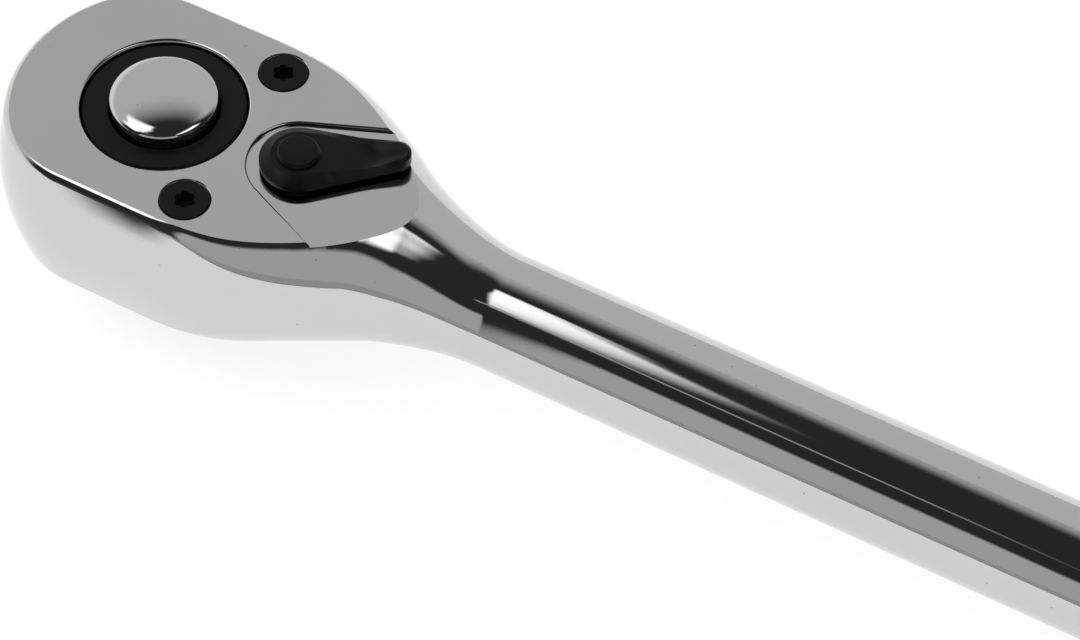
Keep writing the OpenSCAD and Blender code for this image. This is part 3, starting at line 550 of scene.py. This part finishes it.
def undersideTools():  # cutters for the cover's seat, the ratchet's room, the keyway and the lock notches
    c = cuts
    low = bodyLow[2] - past
    wide = math.sqrt(c["plateR"] ** 2 - c["plateHalf"] ** 2)
    side = math.degrees(math.atan2(c["plateHalf"], wide))
    plate = (arc(0, 0, c["plateR"], 180 - side, 180 + side, steps=60)
             + arc(0, 0, c["plateR"], -side, side, steps=60))
    inner = c["tongueR"] * math.cos(rad(c["tongueAngle"]))
    outer = inner + leverX * math.tan(rad(c["tongueAngle"]))
    wedge = [(0, -outer), (leverX, -inner), (leverX, inner), (0, outer)]
    tools = [prism("plateSeat", plate, low, c["plateTop"]),
             rod("tongueSeat", c["tongueR"], low, c["plateTop"], leverX),
             prism("wedgeSeat", wedge, low, c["plateTop"])]
    floor, span = c["plateTop"] - c["overlap"], c["pawlRoomSpan"]
    room = [(0, 0)] + arc(0, 0, c["pawlRoomR"], -span, span, steps=40)
    tools.append(prism("pawlRoom", room, floor, c["roof"]))
    for x, r, top in ((0, c["pocketR"], c["roof"]), (c["pawlPinX"], c["pawlBackR"], c["roof"]),
                      (leverX, c["clipRoomR"], c["roof"]), (c["pawlPinX"], c["pinR"], c["pinTop"])):
        tools.append(rod("pocket", r, floor, top, x))
    keyR = c["keywayWidth"] / 2
    shankLow = axisZ - forging["shankDiameter"] / 2
    slot = (arc(c["keywayEnd"] - keyR, 0, keyR, -90, 90, steps=24)
            + arc(c["keywayStart"] + keyR, 0, keyR, 90, 270, steps=24))
    tools.append(prism("keyway", slot, shankLow - past, shankLow + c["keywayDepth"]))
    ball = arc(0, 0, c["dimpleR"], 180, 0, steps=30)
    for i in range(c["dimples"]):
        spot = (c["dimpleFirst"] + i * c["dimpleStep"], 0, axisZ - c["dimpleDrop"])
        tools.append(turned("dimple", ball, spot, around=40))
    return tools


def buildBody():
    body = forgedLoft()
    paint(body, polishedChrome)
    tools = topTools() + undersideTools()
    for tool in tools:
        paint(tool, groundChrome)
    carve(body, tools)
    polish(body)
    keepFinishEdges(body.data)
    return fit(body, "head", "ratchet_body")


forgedBody = buildBody()
print("forged body:", len(forgedBody.data.polygons), "faces")


# Copies of turned and milled nodes with softened edges

copies = dict(joinGap=0.001, flatAngle=0.5, bevelSteps=2, crisp=32)


def dressNode(node, name, material, bevel):
    obj = bpy.data.objects.new(name, frame["nodes"][node].data.copy())
    scene.collection.objects.link(obj)
    bm = bmesh.new()
    bm.from_mesh(obj.data)
    bmesh.ops.remove_doubles(bm, verts=bm.verts, dist=copies["joinGap"] * mm)
    bmesh.ops.dissolve_limit(bm, angle_limit=rad(copies["flatAngle"]), verts=bm.verts, edges=bm.edges)
    bm.to_mesh(obj.data)
    bm.free()
    if bevel:
        bevelEdges(obj, bevel, copies["bevelSteps"], copies["crisp"])
    paint(obj, material)
    polish(obj, copies["crisp"])
    return obj


dressed = (  # node, piece, body, slot, finish, bevel
    ("cover_plate", "coverPlate", "head", "satin_chrome", satinChrome, 0.25),
    ("drive_gear", "driveGear", "drive", "black_steel", blackSteel, 0.12),
    ("detent_ball", "detentBall", "detent", "steel", bareSteel, 0),
    ("lock_collar", "lockCollar", "collar", "chrome", polishedChrome, 0.2),
    ("front_bush", "frontBush", "handle", "black_plastic", blackPlastic, 0.15),
    ("stop_rings", "stopRings", "handle", "spring_steel", springSteel, 0.1),
    ("spring_seat", "springSeat", "handle", "spring_steel", springSteel, 0.1),
    ("guide_pin", "guidePin", "handle", "steel", bareSteel, 0),
    ("end_cap", "endCap", "handle", "black_plastic", blackPlastic, 0.2),
)
for node, name, body, slot, material, bevel in dressed:
    fit(dressNode(node, name, material, bevel), body, node)
print("dressed nodes:", len(dressed))


# Release button

button = dict(radius=8.4, rimZ=29.4, domeHeight=1.75, domeSteps=32, skirt=5.2, wall=1.6, edge=0.25,
              edgeSteps=3, around=180)


def buildButton():
    b = button
    dome = []
    for i in range(b["domeSteps"] + 1):
        a = math.pi / 2 * i / b["domeSteps"]
        dome.append((b["rimZ"] + b["domeHeight"] * math.cos(a), b["radius"] * math.sin(a)))
    low, inner, roof = b["rimZ"] - b["skirt"], b["radius"] - b["wall"], b["rimZ"] - b["wall"]
    skirt = [(low, b["radius"]), (low, inner), (roof, inner), (roof, 0)]
    profile = dome + roundCorners([dome[-1]] + skirt, b["edge"], b["edgeSteps"])[1:]
    obj = turned("releaseButton", profile, around=b["around"])
    paint(obj, polishedChrome)
    polish(obj)
    return fit(obj, "release", "release_button")


buildButton()


# Reversing lever

lever = dict(
    turn=31.0, discR=6.05, tipR=2.35, length=17.2, lowZ=28.3, deckR=4.3, deckTipR=1.8, rings=9, lineSteps=24,
    around=96, sideZ=29.25, deckZ=30.3,
    # changes in height: by how much, from where along the arm, and over what length
    sideRise=(0.85, 9.0, 7.5), armDrop=(0.9, 3.5, 3.5), tipRise=(1.1, 10.0, 6.0), dish=(0.6, 8.5, 4.0),
    stepR=5.5, stepTipR=1.8, tipOver=2.4, stepLow=27.6, stepTop=28.5, bossR=3.35, bossLow=28.4, bossTop=31.1,
    bossChamfer=0.4, spigotR=2.63, spigotTop=29.45, edge=0.2, edgeSteps=3, edgeAngle=25, crisp=40)


def change(name, x):  # how much of a change in height has come about at x
    amount, start, length = lever[name]
    return amount * smooth((x - start) / length)


def leverRing(r1, r2, reach, height):
    # a link outline with points along its straights, each at its own height
    steps = lever["around"]
    outline = linkOutline(r1, r2, reach, steps)
    disc, tip = outline[:steps + 1], outline[steps + 1:]
    parts = np.linspace(0, 1, lever["lineSteps"] + 1)[1:-1]
    points = []
    for curve, after in ((disc, tip[0]), (tip, disc[0])):
        (x0, y0), (x1, y1) = curve[-1], after
        points += curve + [(x0 + (x1 - x0) * t, y0 + (y1 - y0) * t) for t in parts]
    return [(x, y, height(x)) for x, y in points]


def leverBlank(reach):  # low flange, sloping sides, and a deck that dips along the arm and rises to the tip
    v = lever

    def deck(x, hollow):
        return v["deckZ"] - change("armDrop", x) + change("tipRise", x) - hollow * change("dish", x)

    rings = [leverRing(v["discR"], v["tipR"], reach, lambda x: v["lowZ"]),
             leverRing(v["discR"], v["tipR"], reach, lambda x: v["sideZ"] + change("sideRise", x))]
    for k in np.linspace(1, 0, v["rings"]):  # the deck's rings close on its middle line
        rings.append(leverRing(v["deckR"] * k, v["deckTipR"] * k, reach, lambda x: deck(x, 1 - k ** 2)))
    return skin("reverseLever", rings, [0])


def buildLever():
    v = lever
    reach = v["length"] - v["tipR"]
    arm = leverBlank(reach)
    under = linkOutline(v["stepR"], v["stepTipR"], reach - v["tipOver"], v["around"])
    boss = [(v["bossLow"], 0), (v["bossLow"], v["bossR"]), (v["bossTop"] - v["bossChamfer"], v["bossR"]),
            (v["bossTop"], v["bossR"] - v["bossChamfer"]), (v["bossTop"], 0)]
    carve(arm, [prism("step", under, v["stepLow"], v["stepTop"]), turned("boss", boss)], "UNION")
    carve(arm, [rod("socket", v["spigotR"], v["stepLow"] - past, v["spigotTop"], 0, around=64)])
    spin = Matrix.Rotation(rad(v["turn"]), 4, "Z")
    arm.data.transform(Matrix.Translation((leverX * mm, 0, 0)) @ spin)
    weld(arm)
    bevelEdges(arm, v["edge"], v["edgeSteps"], v["edgeAngle"])
    paint(arm, blackSteel)
    polish(arm, v["crisp"])
    return fit(arm, "selector", "reverse_lever")


buildLever()
print("button and lever made")


# Geometry Nodes helpers

def makeTree(name, inputs):
    tree = bpy.data.node_groups.new(name, "GeometryNodeTree")
    tree.interface.new_socket("Geometry", in_out="INPUT", socket_type="NodeSocketGeometry")
    names = {}
    for label, value in inputs.items():
        kind = {int: "NodeSocketInt", float: "NodeSocketFloat"}.get(type(value), "NodeSocketMaterial")
        socket = tree.interface.new_socket(label, in_out="INPUT", socket_type=kind)
        names[label] = socket.identifier
    tree.interface.new_socket("Geometry", in_out="OUTPUT", socket_type="NodeSocketGeometry")
    return tree, names, tree.nodes.new("NodeGroupInput").outputs


def closeTree(tree, geometry, finish):  # real geometry with its finish, as every tree ends
    real = addNode(tree, "GeometryNodeRealizeInstances", {"Geometry": geometry})
    coat = addNode(tree, "GeometryNodeSetMaterial", {
        "Geometry": real.outputs["Geometry"], "Material": finish})
    addNode(tree, "NodeGroupOutput", {"Geometry": coat.outputs["Geometry"]})


def growTree(obj, tree, names, values):
    grow = obj.modifiers.new(tree.name, "NODES")
    grow.node_group = tree
    for label, value in values.items():
        grow[names[label]] = value
    settle(obj)


# Cover screws

screws = dict(
    headR=4.0, threadR=2.0, headHeight=2.0, lowZ=1.2, recessDepth=1.8, lobeRing=1.04, lobeR=0.6, lobes=6,
    edge=0.16, around=144, crisp=40)


def lobeReach(a):  # distance from the middle to the six-lobe outline
    s = screws
    step = 2 * math.pi / s["lobes"]
    t = a - step * round(a / step)
    off = s["lobeRing"] * math.sin(t)
    if abs(off) > s["lobeR"]:
        return s["lobeRing"]
    return max(s["lobeRing"], s["lobeRing"] * math.cos(t) + math.sqrt(s["lobeR"] ** 2 - off ** 2))


def oneScrew():
    # rings of points from the tip up over the head and down into the recess, with the top face at height 0
    s = screws
    n, e = s["around"], s["edge"]
    angles = [2 * math.pi * k / n for k in range(n)]
    low = s["lowZ"] - topZ
    rings = [(low, [0.0] * n), (low, [s["threadR"] - e] * n), (low + e, [s["threadR"]] * n),
             (-s["headHeight"], [s["threadR"]] * n), (-e, [s["headR"] - e] * n),
             (0, [s["headR"] - 2 * e] * n)]
    star = [lobeReach(a) for a in angles]
    rings += [(0, [r + e / 2 for r in star]), (-e / 2, star), (-s["recessDepth"], star),
              (-s["recessDepth"], [0.0] * n)]
    return skin("coverScrews", [[(r * math.cos(a), r * math.sin(a), z) for r, a in zip(reach, angles)]
                                for z, reach in rings])


def screwTree():
    tree, names, get = makeTree("screwPair", {"Spot X": 0.0, "Spot Y": 0.0, "Top": 0.0, "Finish": blackSteel})
    ends = {"Count": 2}
    for label, sign in (("Start Location", -1.0), ("Offset", 1.0)):
        across = maths(tree, "MULTIPLY", get["Spot Y"], sign)
        spot = addNode(tree, "ShaderNodeCombineXYZ", {"X": get["Spot X"], "Y": across, "Z": get["Top"]})
        ends[label] = spot.outputs[0]
    pair = addNode(tree, "GeometryNodeMeshLine", ends, mode="END_POINTS")
    both = addNode(tree, "GeometryNodeInstanceOnPoints", {
        "Points": pair.outputs["Mesh"], "Instance": get["Geometry"]})
    closeTree(tree, both.outputs["Instances"], get["Finish"])
    return tree, names


def buildScrews():
    obj = oneScrew()
    tree, names = screwTree()
    growTree(obj, tree, names, {
        "Spot X": cuts["screwX"] * mm, "Spot Y": cuts["screwY"] * mm, "Top": topZ * mm, "Finish": blackSteel})
    polish(obj, screws["crisp"])
    return fit(obj, "head", "cover_screws")


buildScrews()
print("screws made")


# Handle tube with its rolled knurl

handle = dict(
    outerR=(tubeHigh[2] - tubeLow[2]) / 2, boreR=9.18, bevel=0.8, bushEnd=209.03, bushR=10.08,
    knurlStart=269.0, knurlEnd=397.0, grooveWidth=2.0, grooveDepth=0.5, knurlDepth=0.38, knurlPitch=1.6,
    knurlAround=44, perDiamond=4, knurlMargin=0.1, skinGap=0.02, ringPlaces=(204.95, 237.55), ringWidth=1.1,
    ringDepth=0.7, edge=0.12, edgeSteps=2, ballX=218.0, ballR=2.58, pinX=248.0, pinR=2.48, crisp=20)


def knurlTree():
    tree, names, get = makeTree("rolledKnurl", {
        "Start": 0.0, "End": 0.0, "Depth": 0.0, "Pitch": 0.0, "Around": 0, "Radius": 0.0, "Axis Height": 0.0,
        "Finish": polishedChrome})

    def calc(operation, *values):
        return maths(tree, operation, *values)

    place = addNode(tree, "ShaderNodeSeparateXYZ", {
        "Vector": addNode(tree, "GeometryNodeInputPosition").outputs[0]}).outputs
    x, y = place["X"], place["Y"]
    z = calc("SUBTRACT", place["Z"], get["Axis Height"])
    u = calc("MULTIPLY", calc("DIVIDE", calc("ARCTAN2", z, y), 2 * math.pi), get["Around"])
    v = calc("DIVIDE", calc("SUBTRACT", x, get["Start"]), get["Pitch"])

    def groove(value):  # 0 on a diamond's middle line, 1 in the groove
        lift = 1000.0  # a whole number that keeps the value over 0
        part = calc("FRACT", calc("ADD", value, lift))
        return calc("MULTIPLY", calc("ABSOLUTE", calc("SUBTRACT", part, 0.5)), 2.0)

    deep = calc("MAXIMUM", groove(calc("ADD", u, v)), groove(calc("SUBTRACT", u, v)))
    shape = calc("MULTIPLY", calc("MAXIMUM", calc("SUBTRACT", deep, 0.5), 0.0), 2.0)
    radius = calc("SQRT", calc("ADD", calc("MULTIPLY", y, y), calc("MULTIPLY", z, z)))
    outside = calc("GREATER_THAN", radius, calc("SUBTRACT", get["Radius"], handle["skinGap"] * mm))
    margin = calc("MULTIPLY", get["Pitch"], handle["knurlMargin"])
    after = calc("GREATER_THAN", x, calc("ADD", get["Start"], margin))
    before = calc("LESS_THAN", x, calc("SUBTRACT", get["End"], margin))
    inside = calc("MULTIPLY", calc("MULTIPLY", after, before), outside)
    sink = calc("MULTIPLY", calc("MULTIPLY", shape, inside), get["Depth"])
    scale = calc("DIVIDE", calc("SUBTRACT", radius, sink), radius)
    moved = addNode(tree, "ShaderNodeCombineXYZ", {
        "X": x, "Y": calc("MULTIPLY", y, scale),
        "Z": calc("ADD", calc("MULTIPLY", z, scale), get["Axis Height"])})
    push = addNode(tree, "GeometryNodeSetPosition", {
        "Geometry": get["Geometry"], "Position": moved.outputs[0]})
    closeTree(tree, push.outputs["Geometry"], get["Finish"])
    return tree, names


def tubeBlank():
    # plain tube with rows close enough for the knurl, split along the lines that the grooves follow
    h = handle
    r, groove, sunk = h["outerR"], h["outerR"] - h["grooveDepth"], h["outerR"] - h["ringDepth"]
    front, end = tubeLow[0], tubeHigh[0]
    outer = [(front, h["bushR"]), (front, r - h["bevel"]), (front + h["bevel"], r)]
    for x in h["ringPlaces"]:
        outer += [(x, r), (x, sunk), (x + h["ringWidth"], sunk), (x + h["ringWidth"], r)]
    before, after = h["knurlStart"] - h["grooveWidth"], h["knurlEnd"] + h["grooveWidth"]
    outer += [(before, r), (before, groove), (h["knurlStart"], groove)]
    rear = [(h["knurlEnd"], groove), (after, groove), (after, r), (end, r), (end, h["boreR"]),
            (h["bushEnd"], h["boreR"]), (h["bushEnd"], h["bushR"])]
    rows = round((h["knurlEnd"] - h["knurlStart"]) / h["knurlPitch"] * h["perDiamond"])
    knurl = [(h["knurlStart"] + (h["knurlEnd"] - h["knurlStart"]) * i / rows, r) for i in range(rows + 1)]
    outer, rear = (roundCorners(part, h["edge"], h["edgeSteps"]) for part in (outer, rear))
    profile = outer + knurl + rear
    around = h["knurlAround"] * h["perDiamond"]
    first, count, per = len(outer), len(profile), h["perDiamond"]
    faces = []
    for i in range(count):
        j = (i + 1) % count
        row = i - first
        for k in range(around):
            a, b = i * around + k, i * around + (k + 1) % around
            c, d = j * around + (k + 1) % around, j * around + k
            if not 0 <= row < rows:
                faces.append((a, b, c, d))
            elif (k + row + 1) % per == 0:
                faces += [(a, b, d), (b, c, d)]
            else:
                faces += [(a, b, c), (a, c, d)]
    obj = makeObject("handleTube", np.concatenate(turnedRings(profile, (0, 0, axisZ), "x", around)), faces)
    weld(obj)
    return obj


def buildTube():
    h = handle
    obj = tubeBlank()
    holes = ((h["ballX"], h["ballR"]), (h["pinX"], h["pinR"]))
    carve(obj, [rod("hole", r, tubeLow[2] - past, axisZ, x, around=48) for x, r in holes])
    tree, names = knurlTree()
    growTree(obj, tree, names, {
        "Start": h["knurlStart"] * mm, "End": h["knurlEnd"] * mm, "Depth": h["knurlDepth"] * mm,
        "Pitch": h["knurlPitch"] * mm, "Around": h["knurlAround"], "Radius": h["outerR"] * mm,
        "Axis Height": axisZ * mm, "Finish": polishedChrome})
    polish(obj, h["crisp"])
    return fit(obj, "handle", "handle_tube")


handleTube = buildTube()
print("handle tube:", len(handleTube.data.polygons), "faces")


# Coil springs

coils = dict(pointsPerTurn=40, wireSides=12, crisp=60)
springs = (
    dict(node="release_spring", name="releaseSpring", body="drive", wire=0.9, turns=4.0, axis="z",
         joint="release_press", travel=3.0, fixed="low"),
    dict(node="lock_spring", name="lockSpring", body="handle", wire=0.9, turns=4.0, axis="x",
         joint="collar_slide", travel=5.0, fixed="high"),
)


def springTree():
    tree, names, get = makeTree("coilSpring", {
        "Coil Radius": 0.0, "Wire Radius": 0.0, "Height": 0.0, "Turns": 0.0, "Finish": springSteel})
    path = addNode(tree, "GeometryNodeCurveSpiral", {
        "Resolution": coils["pointsPerTurn"], "Rotations": get["Turns"], "Start Radius": get["Coil Radius"],
        "End Radius": get["Coil Radius"], "Height": get["Height"]})
    section = addNode(tree, "GeometryNodeCurvePrimitiveCircle", {
        "Resolution": coils["wireSides"], "Radius": get["Wire Radius"]})
    tube = addNode(tree, "GeometryNodeCurveToMesh", {
        "Curve": path.outputs["Curve"], "Profile Curve": section.outputs["Curve"], "Fill Caps": True})
    closeTree(tree, tube.outputs["Mesh"], get["Finish"])
    return tree, names


def buildSprings():
    tree, names = springTree()
    for s in springs:
        low, high = corners(s["node"])
        along = 0 if s["axis"] == "x" else 2
        coilR = (high[1] - low[1] - s["wire"]) / 2
        height = high[along] - low[along] - s["wire"]
        obj = makeObject(s["name"], [(0, 0, 0)], [])
        growTree(obj, tree, names, {"Coil Radius": coilR * mm, "Wire Radius": s["wire"] / 2 * mm,
                                    "Height": height * mm, "Turns": s["turns"], "Finish": springSteel})
        start = Vector((0, 0, low[2] + s["wire"] / 2))
        if s["axis"] == "x":
            obj.data.transform(Matrix.Rotation(math.pi / 2, 4, "Y"))
            start = Vector((low[0] + s["wire"] / 2, 0, axisZ))
        obj.data.transform(Matrix.Translation(start * mm))
        weld(obj)
        polish(obj, coils["crisp"])
        fit(obj, s["body"], s["node"])
        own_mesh(obj)


buildSprings()
print("springs made")


# Finishes of the nodes that stay as they are

innerFinishes = dict(
    thrust_washer=bronze, release_plunger=bareSteel, selector_shaft=bareSteel, shaft_clip=springSteel,
    lever_seal=blackRubber, pawl=bareSteel, pawl_pin=bareSteel, pawl_follower=bareSteel,
    pawl_spring=springSteel, lock_ball=bareSteel)
for node, material in innerFinishes.items():
    paint(frame["nodes"][node], material)
print("inner nodes painted:", len(innerFinishes))


# Camera: the photograph's view, taken as 1080 x 640 pixels

view = dict(azimuth=24.29, elevation=53.36, roll=4.12, distance=432.3, target=(69.88, -8.31, 28.0),
            focalPixels=2939.4, widthPixels=1080, sensor=36.0, clipNear=10, clipFar=50000)


def buildCamera():
    az, el, roll = rad(view["azimuth"]), rad(view["elevation"]), rad(view["roll"])
    back = Vector((math.sin(az) * math.cos(el), -math.cos(az) * math.cos(el), math.sin(el)))
    side = (-back).cross(Vector((0, 0, 1))).normalized()
    up = side.cross(-back)
    right = math.cos(roll) * side + math.sin(roll) * up
    top = -math.sin(roll) * side + math.cos(roll) * up
    spot = (Vector(view["target"]) + back * view["distance"]) * mm
    data = bpy.data.cameras.new("photoCamera")
    data.sensor_width = view["sensor"]
    data.lens = view["sensor"] * view["focalPixels"] / view["widthPixels"]
    data.clip_start = view["clipNear"] * mm
    data.clip_end = view["clipFar"] * mm
    obj = bpy.data.objects.new("photoCamera", data)
    obj.matrix_world = Matrix(((right.x, top.x, back.x, spot.x), (right.y, top.y, back.y, spot.y),
                               (right.z, top.z, back.z, spot.z), (0, 0, 0, 1)))
    scene.collection.objects.link(obj)
    scene.camera = obj


buildCamera()
print("camera set")


# Studio: pale floor, soft key light, and the light tent that the chrome mirrors

floorGap = 0.1  # the floor lies just under the drive square
studio = dict(
    floorZ=cadLow[2] / mm - floorGap, floorHalf=12000, floorGlow=0.8, floorColour=0.3, worldSoft=0.62,
    keySpot=(-350, -420, 900), keyAim=(60, 0, 0), keySize=700, keyWatts=4.0,
    tentRadius=3000, tentRows=24, tentAround=48, tentDark=0.03)
# Panels of the tent, each laid over those before it. Angles in degrees: around from the near side towards the
# handle, and up from the floor, each as a range with the width of its soft edges. A plane is a direction, and
# its reach is such a range along it, with the tent's radius as 1.
panels = (
    dict(name="farWall", around=(140, 302, 12), up=(-30, 63, 12), glow=0.65),
    dict(name="leftWall", plane=(0.9, -0.03, 0.43), reach=(-2, -0.56, 0.09), glow=1.0),
    dict(name="nearWall", around=(-14.3, 54, 1.5), up=(-30, 36, 3), glow=0.53),
    dict(name="softbox", around=(-100, -15, 8), up=(56, 78.5, 2), glow=1.7,
         plane=(-0.833, -0.029, 0.553), reach=(0.682, 2, 0.05)),
    dict(name="lowBox", around=(-72, -31, 4), up=(46, 59, 4), glow=2.0),
    dict(name="sideLamp", around=(55, 115, 4), up=(49, 63, 3.5), glow=1.8,
         plane=(-0.15, -0.349, 0.925), reach=(-2, 0.785, 0.03)),
    dict(name="strip", around=(-45, -3, 6), up=(57.4, 59.2, 0.8), glow=0.45),
)
# Dark patches just over the floor, in front of the wrench. Each edge is a direction x and y, how far along it
# the patch goes, and the width of the soft edge.
flags = (
    dict(name="blackFlag", glow=0.06, height=0.3,
         edges=((0.9565, -0.2918, 7, 5), (-0.8, 0.6, -26, 9), (0, 1, -84, 12))),
    dict(name="footLine", glow=0.08, height=0.6, edges=((0, 1, -214, 4), (-0.9565, 0.2918, -5.9, 3))),
    dict(name="greyFlag", glow=0.42, height=0.9, edges=((0, 1, -229, 3), (-0.9565, 0.2918, -5.9, 3))),
)


def levelSquare(name, half, z):
    points = [(-half, -half, z), (half, -half, z), (half, half, z), (-half, half, z)]
    return makeObject(name, points, [(0, 1, 2, 3)])


def hide(obj):  # only mirrored by the wrench
    obj.visible_camera = False
    obj.visible_diffuse = False
    obj.visible_transmission = False
    obj.visible_shadow = False


def lampMaterial(name):  # a material with no shader yet, its tree and its Object coordinates
    material = bpy.data.materials.new(name)
    material.use_nodes = True
    tree = material.node_tree
    tree.nodes.remove(tree.nodes["Principled BSDF"])
    place = addNode(tree, "ShaderNodeTexCoord").outputs["Object"]
    return material, tree, addNode(tree, "ShaderNodeSeparateXYZ", {"Vector": place}).outputs


def surface(tree, shader):
    tree.links.new(shader.outputs[0], tree.nodes["Material Output"].inputs["Surface"])


def ramp(tree, value, edge, soft, first, last):  # a soft step at the edge
    return addNode(tree, "ShaderNodeMapRange", {
        "Value": value, "From Min": edge - soft, "From Max": edge + soft, "To Min": first, "To Max": last,
    }, interpolation_type="SMOOTHSTEP").outputs["Result"]


def buildFlags():
    for flag in flags:
        card = levelSquare(flag["name"], studio["tentRadius"], studio["floorZ"] + flag["height"])
        material, tree, place = lampMaterial(flag["name"])
        mask = 1.0
        for a, b, far, soft in flag["edges"]:
            along = maths(tree, "MULTIPLY_ADD", place["X"], a, maths(tree, "MULTIPLY", place["Y"], b))
            mask = maths(tree, "MULTIPLY", ramp(tree, along, far * mm, soft * mm, 1.0, 0.0), mask)
        light = addNode(tree, "ShaderNodeEmission", {"Strength": flag["glow"]})
        shade = addNode(tree, "ShaderNodeMixShader", {"Fac": mask})
        tree.links.new(addNode(tree, "ShaderNodeBsdfTransparent").outputs[0], shade.inputs[1])
        tree.links.new(light.outputs[0], shade.inputs[2])
        surface(tree, shade)
        paint(card, material)
        hide(card)


def buildTent():
    radius = studio["tentRadius"]
    tent = turned("lightTent", arc(0, 0, radius, 180, 0, studio["tentRows"]), around=studio["tentAround"])
    material, tree, place = lampMaterial("tentPanels")
    x, y, z = (place[axis] for axis in "XYZ")
    fullTurn = 360.0

    def calc(operation, *values):
        return maths(tree, operation, *values)

    def within(value, low, high, soft):
        rise = ramp(tree, value, low, soft, 0.0, 1.0)
        return calc("MULTIPLY", rise, ramp(tree, value, high, soft, 1.0, 0.0))

    level = calc("SQRT", calc("MULTIPLY_ADD", x, x, calc("MULTIPLY", y, y)))
    upward = calc("DEGREES", calc("ARCTAN2", z, level))
    turn = calc("DEGREES", calc("ARCTAN2", x, calc("MULTIPLY", y, -1.0)))
    total = studio["tentDark"]
    for panel in panels:
        mask = 1.0
        if "around" in panel:
            low, high, soft = panel["around"]
            middle = (low + high) / 2
            away = calc("FLOORED_MODULO", calc("ADD", turn, 1.5 * fullTurn - middle), fullTurn)
            away = calc("SUBTRACT", away, fullTurn / 2)  # from the panel's middle, either way
            sides = within(away, low - middle, high - middle, soft)
            mask = calc("MULTIPLY", sides, within(upward, *panel["up"]))
        if "plane" in panel:
            a, b, c = (part / (radius * mm) for part in panel["plane"])
            along = calc("MULTIPLY_ADD", x, a, calc("MULTIPLY_ADD", y, b, calc("MULTIPLY", z, c)))
            mask = calc("MULTIPLY", within(along, *panel["reach"]), mask)
        mix = addNode(tree, "ShaderNodeMix", {"Factor": mask, "A": total, "B": panel["glow"]})
        total = mix.outputs["Result"]
    surface(tree, addNode(tree, "ShaderNodeEmission", {"Strength": total}))
    paint(tent, material)
    hide(tent)


def seenRays(tree):  # camera, glossy and transmission rays together
    path = addNode(tree, "ShaderNodeLightPath").outputs
    total = maths(tree, "ADD", path["Is Camera Ray"], path["Is Glossy Ray"])
    return maths(tree, "MINIMUM", maths(tree, "ADD", total, path["Is Transmission Ray"]), 1.0)


def buildFloor():
    floor = levelSquare("floor", studio["floorHalf"], studio["floorZ"])
    material = bpy.data.materials.new("paleFloor")
    material.use_nodes = True
    tree = material.node_tree
    shader = tree.nodes["Principled BSDF"]
    level = studio["floorColour"]
    shader.inputs["Base Color"].default_value = (level, level, level, 1)
    shader.inputs["Roughness"].default_value = 1
    shader.inputs["Specular IOR Level"].default_value = 0
    glow = addNode(tree, "ShaderNodeEmission", {
        "Strength": maths(tree, "MULTIPLY", seenRays(tree), studio["floorGlow"])})
    both = addNode(tree, "ShaderNodeAddShader")
    tree.links.new(shader.outputs[0], both.inputs[0])
    tree.links.new(glow.outputs[0], both.inputs[1])
    surface(tree, both)
    paint(floor, material)


def buildWorld():  # white where it is seen, softer where it lights
    world = bpy.data.worlds.new("paleRoom")
    scene.world = world
    world.use_nodes = True
    tree = world.node_tree
    back = tree.nodes["Background"]
    back.inputs["Color"].default_value = (1, 1, 1, 1)
    slope = addNode(tree, "ShaderNodeMapRange", {
        "Value": seenRays(tree), "To Min": studio["worldSoft"], "To Max": 1.0})
    tree.links.new(slope.outputs["Result"], back.inputs["Strength"])


def buildKeyLight():
    data = bpy.data.lights.new("keyLight", "AREA")
    data.shape = "SQUARE"
    data.size = studio["keySize"] * mm
    data.energy = studio["keyWatts"]
    obj = bpy.data.objects.new("keyLight", data)
    obj.location = Vector(studio["keySpot"]) * mm
    aim = Vector(studio["keyAim"]) * mm - obj.location
    obj.rotation_euler = aim.to_track_quat("-Z", "Y").to_euler()
    obj.visible_glossy = False
    obj.visible_camera = False
    scene.collection.objects.link(obj)


buildTent()
buildFlags()
buildFloor()
buildWorld()
buildKeyLight()
print("studio made")
